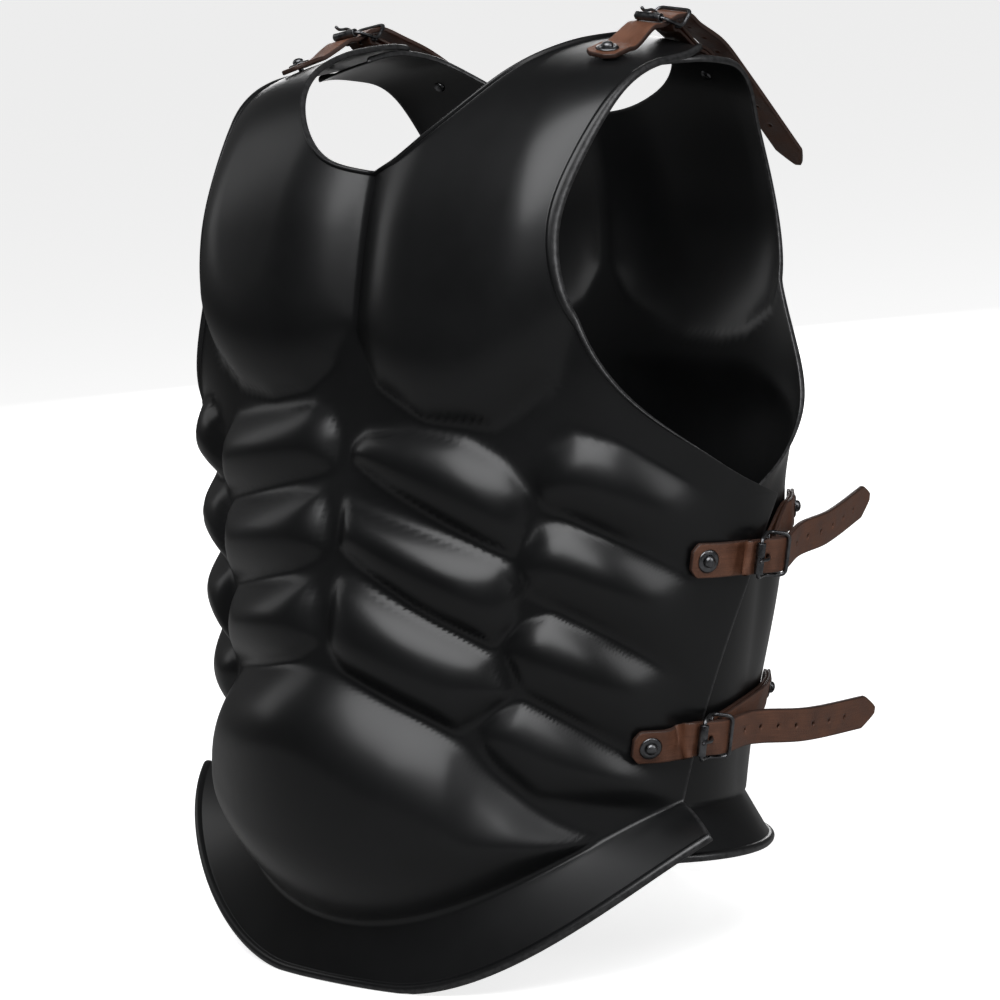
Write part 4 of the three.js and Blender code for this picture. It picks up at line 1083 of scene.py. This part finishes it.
    def seat_frame(self, seat: Seat) -> Matrix:
        """Returns the matrix that stands a turned piece on a seat."""
        side = seat.out.cross(self.width).normalized()
        basis = Matrix((side, seat.out.cross(side), seat.out)).transposed().to_4x4()
        return ROW @ Matrix.Translation(seat.at) @ basis

    def rivet(self, seat: Seat, stack: float, piece: str) -> bpy.types.Object:
        """Makes a rivet: domed head, shank, and the hammered tail inside."""
        low = -SHEET / 2 - 0.12
        r = self.head_radius
        dome = [(r * math.cos(a), stack + 0.5 + 2.4 * math.sin(a))
                for a in np.radians([0, 15, 30, 45, 60, 75])]
        outline = [(0, low - 1.7), (2.2, low - 1.6), (3.5, low - 0.8), (3.9, low), (SHANK_RADIUS, low),
                   (SHANK_RADIUS, stack), (r, stack), *dome, (0, stack + 2.9)]
        bm = lathe(outline, steps=36)
        sharp = [e for e in bm.edges if len(e.link_faces) == 2 and e.calc_face_angle() > 0.9]
        bmesh.ops.bevel(bm, geom=sharp, offset=0.15, segments=2, profile=0.5, affect="EDGES",
                        material=-1)
        bm.transform(self.seat_frame(seat))
        return finish_piece(bm, f"{self.name}_{piece}", self.mirrored)

    def washer(self, seat: Seat, stack: float, piece: str) -> bpy.types.Object:
        """Makes a thick, softly domed washer under a rivet's head."""
        inner = SHANK_RADIUS + 0.25
        under, top = stack - 0.06 - WASHER_THICK, stack - 0.06
        r = self.washer_radius
        outline = [(inner, under), (r - 0.2, under), (r, under + 0.35), (r - 0.9, top - 0.15),
                   (r - 2.0, top), (inner, top), (inner, under)]
        bm = lathe(outline, steps=44)
        bm.transform(self.seat_frame(seat))
        return finish_piece(bm, f"{self.name}_{piece}", self.mirrored)

    def build(self) -> dict[str, bpy.types.Object]:
        """Makes every piece of the fastening.

        Returns:
            The pieces by the end of their CAD node's name.
        """
        on_strap = SHEET / 2 + STRAP_REST + STRAP_THICK + 0.45 + WASHER_THICK
        on_chape = SHEET / 2 + STRAP_REST + 2 * CHAPE_THICK + 0.75 + WASHER_THICK
        return {
            "strap": self.strap(), "chape": self.chape(), "buckle_frame": self.buckle_frame(),
            "buckle_roller": self.buckle_roller(), "buckle_tongue": self.buckle_tongue(),
            "front_rivet": self.rivet(self.front_seat, on_strap, "front_rivet"),
            "front_washer": self.washer(self.front_seat, on_strap, "front_washer"),
            "back_rivet": self.rivet(self.back_seat, on_chape, "back_rivet"),
            "back_washer": self.washer(self.back_seat, on_chape, "back_washer"),
        }


def join(target: bmesh.types.BMesh, source: bmesh.types.BMesh) -> None:
    """Adds one mesh to another and frees it."""
    mesh = bpy.data.meshes.new("joined")
    source.to_mesh(mesh)
    source.free()
    target.from_mesh(mesh)
    bpy.data.meshes.remove(mesh)


# ---- finishes --------------------------------------------------------------------------------

Socket = bpy.types.NodeSocket
Tree = bpy.types.NodeTree


def node(tree: Tree, kind: str, **values: object) -> bpy.types.Node:
    """Adds a node and sets its properties and inputs.

    Args:
        tree: The node tree.
        kind: Type of the node.
        values: Properties by name, and inputs by name with in_ in front.

    Returns:
        The node.
    """
    made = tree.nodes.new(kind)
    for key, value in values.items():
        if key.startswith("in_"):
            made.inputs[key[3:].replace("_", " ")].default_value = value
        else:
            setattr(made, key, value)
    return made


def grain_group() -> bpy.types.NodeTree:
    """Builds the group that gives mottling and fine grain at two scales.

    Returns:
        The group, with outputs Mottle and Grain.
    """
    tree = bpy.data.node_groups.new("mottle_and_grain", "ShaderNodeTree")
    for name, value in (("Mottle Scale", 9.0), ("Grain Scale", 220.0), ("Roughness", 0.6)):
        socket = tree.interface.new_socket(name, in_out="INPUT", socket_type="NodeSocketFloat")
        socket.default_value = value
    for name in ("Mottle", "Grain"):
        tree.interface.new_socket(name, in_out="OUTPUT", socket_type="NodeSocketFloat")
    given = node(tree, "NodeGroupInput")
    result = node(tree, "NodeGroupOutput")
    place = node(tree, "ShaderNodeTexCoord")
    for name, scale, detail in (("Mottle", "Mottle Scale", 5.0), ("Grain", "Grain Scale", 3.0)):
        noise = node(tree, "ShaderNodeTexNoise", in_Detail=detail)
        tree.links.new(place.outputs["Object"], noise.inputs["Vector"])
        tree.links.new(given.outputs[scale], noise.inputs["Scale"])
        tree.links.new(given.outputs["Roughness"], noise.inputs["Roughness"])
        tree.links.new(noise.outputs["Fac"], result.inputs[name])
    return tree


def ramp(tree: Tree, source: Socket, stops: Sequence[tuple[float, Sequence[float]]]) -> Socket:
    """Adds a colour ramp and returns its colour output."""
    made = node(tree, "ShaderNodeValToRGB")
    elements = made.color_ramp.elements
    while len(elements) < len(stops):
        elements.new(0.5)
    for element, (place, colour) in zip(elements, stops):
        element.position = place
        element.color = (*colour, 1.0)
    tree.links.new(source, made.inputs["Fac"])
    return made.outputs["Color"]


def remap(tree: Tree, source: Socket, low: float, high: float, to_low: float, to_high: float
          ) -> Socket:
    """Adds a smooth map of one range to another and returns its output."""
    made = node(tree, "ShaderNodeMapRange", interpolation_type="SMOOTHSTEP")
    for name, value in (("From Min", low), ("From Max", high), ("To Min", to_low),
                        ("To Max", to_high)):
        made.inputs[name].default_value = value
    tree.links.new(source, made.inputs["Value"])
    return made.outputs["Result"]


def mix_colour(tree: Tree, factor: Socket, first: Socket,
               second: tuple[float, float, float]) -> Socket:
    """Adds a mix of a colour towards a constant one and returns its output."""
    made = node(tree, "ShaderNodeMix", data_type="RGBA")
    tree.links.new(factor, made.inputs["Factor"])
    tree.links.new(first, made.inputs["A"])
    made.inputs["B"].default_value = (*second, 1.0)
    return made.outputs["Result"]


@dataclass(frozen=True)
class Steel:
    """Steel finish: blackened sheet or bright gunmetal wire."""

    name: str
    dark: tuple[float, float, float]
    light: tuple[float, float, float]
    # colour the edges are lightened towards: part rubbed wear, part painted highlight of the rolled
    # edges
    wear_and_highlight_colour: tuple[float, float, float]
    metallic: float
    rough: tuple[float, float]
    coat: float
    bump: float
    mottle_scale: float
    grain_scale: float
    edge_wear_and_highlight: bool

    def build(self, grain: bpy.types.NodeTree) -> bpy.types.Material:
        """Makes the material.

        Args:
            grain: The shared group of mottling and grain.

        Returns:
            The material.
        """
        material = bpy.data.materials.new(self.name)
        material.use_nodes = True
        tree = material.node_tree
        shader = tree.nodes["Principled BSDF"]
        pattern = node(tree, "ShaderNodeGroup", node_tree=grain, in_Mottle_Scale=self.mottle_scale,
                       in_Grain_Scale=self.grain_scale)
        colour = ramp(tree, pattern.outputs["Mottle"], ((0.3, self.dark), (0.75, self.light)))
        # lighter colour within a few mm of the rolled and cut edges, broken up by grain spots: part
        # rubbed wear, part a painted highlight standing in for the bright line along the rolled edges
        if self.edge_wear_and_highlight:
            edge = node(tree, "ShaderNodeAttribute", attribute_name="edge_distance")
            near = remap(tree, edge.outputs["Fac"], 1.0, 3.6, 1.0, 0.0)
            wear_and_highlight_mask = node(tree, "ShaderNodeMath", operation="MULTIPLY")
            spots = remap(tree, pattern.outputs["Grain"], 0.35, 0.6, 0.35, 0.9)
            tree.links.new(near, wear_and_highlight_mask.inputs[0])
            tree.links.new(spots, wear_and_highlight_mask.inputs[1])
            colour = mix_colour(tree, wear_and_highlight_mask.outputs[0], colour, self.wear_and_highlight_colour)
        tree.links.new(colour, shader.inputs["Base Color"])
        tree.links.new(remap(tree, pattern.outputs["Mottle"], 0.3, 0.7, *self.rough),
                       shader.inputs["Roughness"])
        shader.inputs["Metallic"].default_value = self.metallic
        shader.inputs["Coat Weight"].default_value = self.coat
        shader.inputs["Coat Roughness"].default_value = 0.22
        bump = node(tree, "ShaderNodeBump", in_Strength=self.bump, in_Distance=0.0004)
        tree.links.new(pattern.outputs["Grain"], bump.inputs["Height"])
        tree.links.new(bump.outputs["Normal"], shader.inputs["Normal"])
        return material


BURNISHED = (0.0001, 0.0011)     # metres from the cut edge where the dark dye is full and gone


@dataclass(frozen=True)
class Leather:
    """Dyed strap leather with burnished, darker edges."""

    name: str
    dark: tuple[float, float, float]
    light: tuple[float, float, float]
    edge: tuple[float, float, float]

    def build(self, grain: bpy.types.NodeTree) -> bpy.types.Material:
        """Makes the material.

        Args:
            grain: The shared group of mottling and grain.

        Returns:
            The material.
        """
        material = bpy.data.materials.new(self.name)
        material.use_nodes = True
        tree = material.node_tree
        shader = tree.nodes["Principled BSDF"]
        pattern = node(tree, "ShaderNodeGroup", node_tree=grain, in_Mottle_Scale=70.0,
                       in_Grain_Scale=900.0)
        flat = node(tree, "ShaderNodeAttribute", attribute_name="flat")
        parts = node(tree, "ShaderNodeSeparateXYZ")
        tree.links.new(flat.outputs["Vector"], parts.inputs["Vector"])
        stretch = node(tree, "ShaderNodeMapping")
        stretch.inputs["Scale"].default_value = (60.0, 1400.0, 1.0)
        tree.links.new(flat.outputs["Vector"], stretch.inputs["Vector"])
        fibre = node(tree, "ShaderNodeTexNoise", in_Scale=1.0, in_Detail=4.0)
        tree.links.new(stretch.outputs["Vector"], fibre.inputs["Vector"])
        pores = node(tree, "ShaderNodeTexVoronoi", in_Scale=1300.0)
        place = node(tree, "ShaderNodeTexCoord")
        tree.links.new(place.outputs["Object"], pores.inputs["Vector"])
        colour = ramp(tree, pattern.outputs["Mottle"], ((0.28, self.dark), (0.72, self.light)))
        streak = node(tree, "ShaderNodeMix", data_type="RGBA", blend_type="MULTIPLY")
        streak.inputs["Factor"].default_value = 0.5
        tree.links.new(colour, streak.inputs["A"])
        tree.links.new(ramp(tree, fibre.outputs["Fac"], ((0.3, (0.5,) * 3), (0.65, (1.12,) * 3))),
                       streak.inputs["B"])
        near = remap(tree, parts.outputs["Z"], *BURNISHED, 0.92, 0.0)
        colour = mix_colour(tree, near, streak.outputs["Result"], self.edge)
        tree.links.new(colour, shader.inputs["Base Color"])
        tree.links.new(remap(tree, pattern.outputs["Mottle"], 0.3, 0.7, 0.42, 0.6),
                       shader.inputs["Roughness"])
        shader.inputs["Specular IOR Level"].default_value = 0.45
        height = node(tree, "ShaderNodeMath", operation="MULTIPLY_ADD")
        height.inputs[1].default_value = 0.6
        tree.links.new(pores.outputs["Distance"], height.inputs[0])
        tree.links.new(pattern.outputs["Grain"], height.inputs[2])
        bump = node(tree, "ShaderNodeBump", in_Strength=0.5, in_Distance=0.0004)
        tree.links.new(height.outputs[0], bump.inputs["Height"])
        tree.links.new(bump.outputs["Normal"], shader.inputs["Normal"])
        return material


# the blackened steel's third colour lightens its edges, as wear and as a painted highlight of the
# rolled edges
BLACK_STEEL = Steel("blackened_steel", (0.006, 0.0063, 0.0068), (0.011, 0.0115, 0.0125),
                    (0.05, 0.05, 0.052), 0.5, (0.31, 0.40), 0.14, 0.05, 7.0, 260.0, True)
GUNMETAL = Steel("gunmetal", (0.07, 0.072, 0.078), (0.17, 0.172, 0.178), (0.4, 0.4, 0.4), 1.0,
                 (0.24, 0.4), 0.0, 0.25, 160.0, 900.0, False)
BROWN_LEATHER = Leather("brown_leather", (0.075, 0.028, 0.014), (0.15, 0.062, 0.034),
                        (0.02, 0.008, 0.005))


# ---- studio ----------------------------------------------------------------------------------

@dataclass(frozen=True)
class SoftLight:
    """A square studio light aimed at a point, in the leaning part's frame, in metres."""

    name: str
    place: tuple[float, float, float]
    aim: tuple[float, float, float]
    size: tuple[float, float]
    watts: float

    def build(self) -> None:
        """Adds the light to the scene."""
        data = bpy.data.lights.new(self.name, "AREA")
        data.shape = "RECTANGLE"
        data.size, data.size_y = self.size
        data.energy = self.watts
        obj = bpy.data.objects.new(self.name, data)
        obj.location = self.place
        way = Vector(self.aim) - Vector(self.place)
        obj.rotation_euler = way.to_track_quat("-Z", "Y").to_euler()
        bpy.context.scene.collection.objects.link(obj)


LIGHTS = (
    SoftLight("overhead", (0.65, -0.85, 1.8), (0.0, -0.05, 0.35), (1.7, 1.4), 44),
    SoftLight("left", (-1.9, -0.4, 1.3), (0.0, 0.0, 0.3), (0.7, 1.4), 3),
    SoftLight("behind", (-1.5, 1.7, 0.9), (0.0, 0.0, 0.3), (1.0, 1.6), 16),
    SoftLight("far_right", (2.3, 0.5, 1.2), (0.0, 0.0, 0.35), (0.6, 1.6), 17),
)


@dataclass(frozen=True)
class Studio:
    """Camera, pale floor, pale surroundings and soft lights."""

    azimuth: float = 42.0
    distance: float = 2100.0
    height: float = 436.2
    pitch: float = 4.15
    yaw: float = -0.156
    lens: float = 120.85

    def camera(self) -> None:
        """Places the camera, carried with the part's lean."""
        turn = math.radians(self.azimuth)
        at = Vector((self.distance * math.sin(turn), -self.distance * math.cos(turn), self.height))
        aim, drop = turn + math.radians(self.yaw), math.radians(self.pitch)
        look = Vector((-math.sin(aim) * math.cos(drop), math.cos(aim) * math.cos(drop),
                       -math.sin(drop)))
        right = look.cross(Vector((0, 0, 1))).normalized()
        upward = right.cross(look)
        basis = Matrix((right, upward, -look)).transposed().to_4x4()
        lean = Matrix.Rotation(-LEAN, 4, "X")
        data = bpy.data.cameras.new("camera")
        data.lens = self.lens
        data.sensor_width = 36.0
        data.clip_start = 0.01
        obj = bpy.data.objects.new("camera", data)
        obj.matrix_world = Matrix.Translation(ROW @ at) @ lean @ basis
        bpy.context.scene.collection.objects.link(obj)
        bpy.context.scene.camera = obj

    def surroundings(self) -> None:
        """Makes the pale world and the pale floor."""
        world = bpy.data.worlds.new("studio")
        world.use_nodes = True
        tree = world.node_tree
        background = tree.nodes["Background"]
        seen = node(tree, "ShaderNodeLightPath")
        strength = remap(tree, seen.outputs["Is Camera Ray"], 0.0, 1.0, 0.08, 0.99)
        tree.links.new(strength, background.inputs["Strength"])
        background.inputs["Color"].default_value = (1.0, 1.0, 1.0, 1.0)
        bpy.context.scene.world = world
        bpy.context.scene.view_settings.view_transform = "Standard"
        bm = bmesh.new()
        bmesh.ops.create_grid(bm, x_segments=1, y_segments=1, size=40)
        bmesh.ops.translate(bm, verts=bm.verts, vec=(0, 0, -0.0005))
        floor = finish_piece(bm, "floor")
        material = bpy.data.materials.new("floor")
        material.use_nodes = True
        shader = material.node_tree.nodes["Principled BSDF"]
        shader.inputs["Roughness"].default_value = 0.9
        seen = node(material.node_tree, "ShaderNodeLightPath")
        pale = ramp(material.node_tree, seen.outputs["Is Camera Ray"],
                    ((0.0, (0.3,) * 3), (1.0, (0.8,) * 3)))
        material.node_tree.links.new(pale, shader.inputs["Base Color"])
        glow = remap(material.node_tree, seen.outputs["Is Camera Ray"], 0.0, 1.0, 0.0, 0.78)
        material.node_tree.links.new(glow, shader.inputs["Emission Strength"])
        shader.inputs["Emission Color"].default_value = (1.0, 1.0, 1.0, 1.0)
        floor.data.materials.append(material)

    def build(self) -> None:
        """Makes the whole studio."""
        self.camera()
        self.surroundings()
        for light in LIGHTS:
            light.build()


class Cuirass:
    """The whole object: two plates and six fastenings."""

    def __init__(self) -> None:
        """Lists its sub-assemblies."""
        self.front = Plate("breastplate_shell", FRONT, front_relief)
        self.back = Plate("backplate_shell", BACK, back_relief)
        self.fastenings = [Fastening(spec, side, self.front, self.back)
                           for spec in (SHOULDER, UPPER_SIDE, LOWER_SIDE) for side in Side]

    def build(self) -> None:
        """Builds and dresses every piece, and sets it on the frame."""
        grain = grain_group()
        steel, wire = BLACK_STEEL.build(grain), GUNMETAL.build(grain)
        leather = BROWN_LEATHER.build(grain)
        for plate, name in ((self.front, "breastplate"), (self.back, "backplate")):
            self.place(plate.build(), name, steel, "blackened_steel")
        for fastening in self.fastenings:
            for ending, piece in fastening.build().items():
                soft = ending in ("strap", "chape")
                self.place(piece, f"{fastening.name}_{ending}", leather if soft else wire,
                           "brown_leather" if soft else "gunmetal")

    @staticmethod
    def place(piece: bpy.types.Object, name: str, material: bpy.types.Material, slot: str) -> None:
        """Dresses a piece and sets it on its CAD node's body.

        Args:
            piece: The piece.
            name: The CAD node it stands for.
            material: Its finish.
            slot: The record's material slot; not used.
        """
        piece.name = f"{name}_piece"
        piece.data.materials.append(material)
        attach(piece, "root")
        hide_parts(name)
        LOG.info("%s: %d faces", piece.name, len(piece.data.polygons))


def main() -> None:
    """Builds the studio and the cuirass on the frame."""
    logging.basicConfig(level=logging.INFO, format="%(name)s %(message)s")
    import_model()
    Studio().build()
    Cuirass().build()


if __name__ == "__main__":
    main()
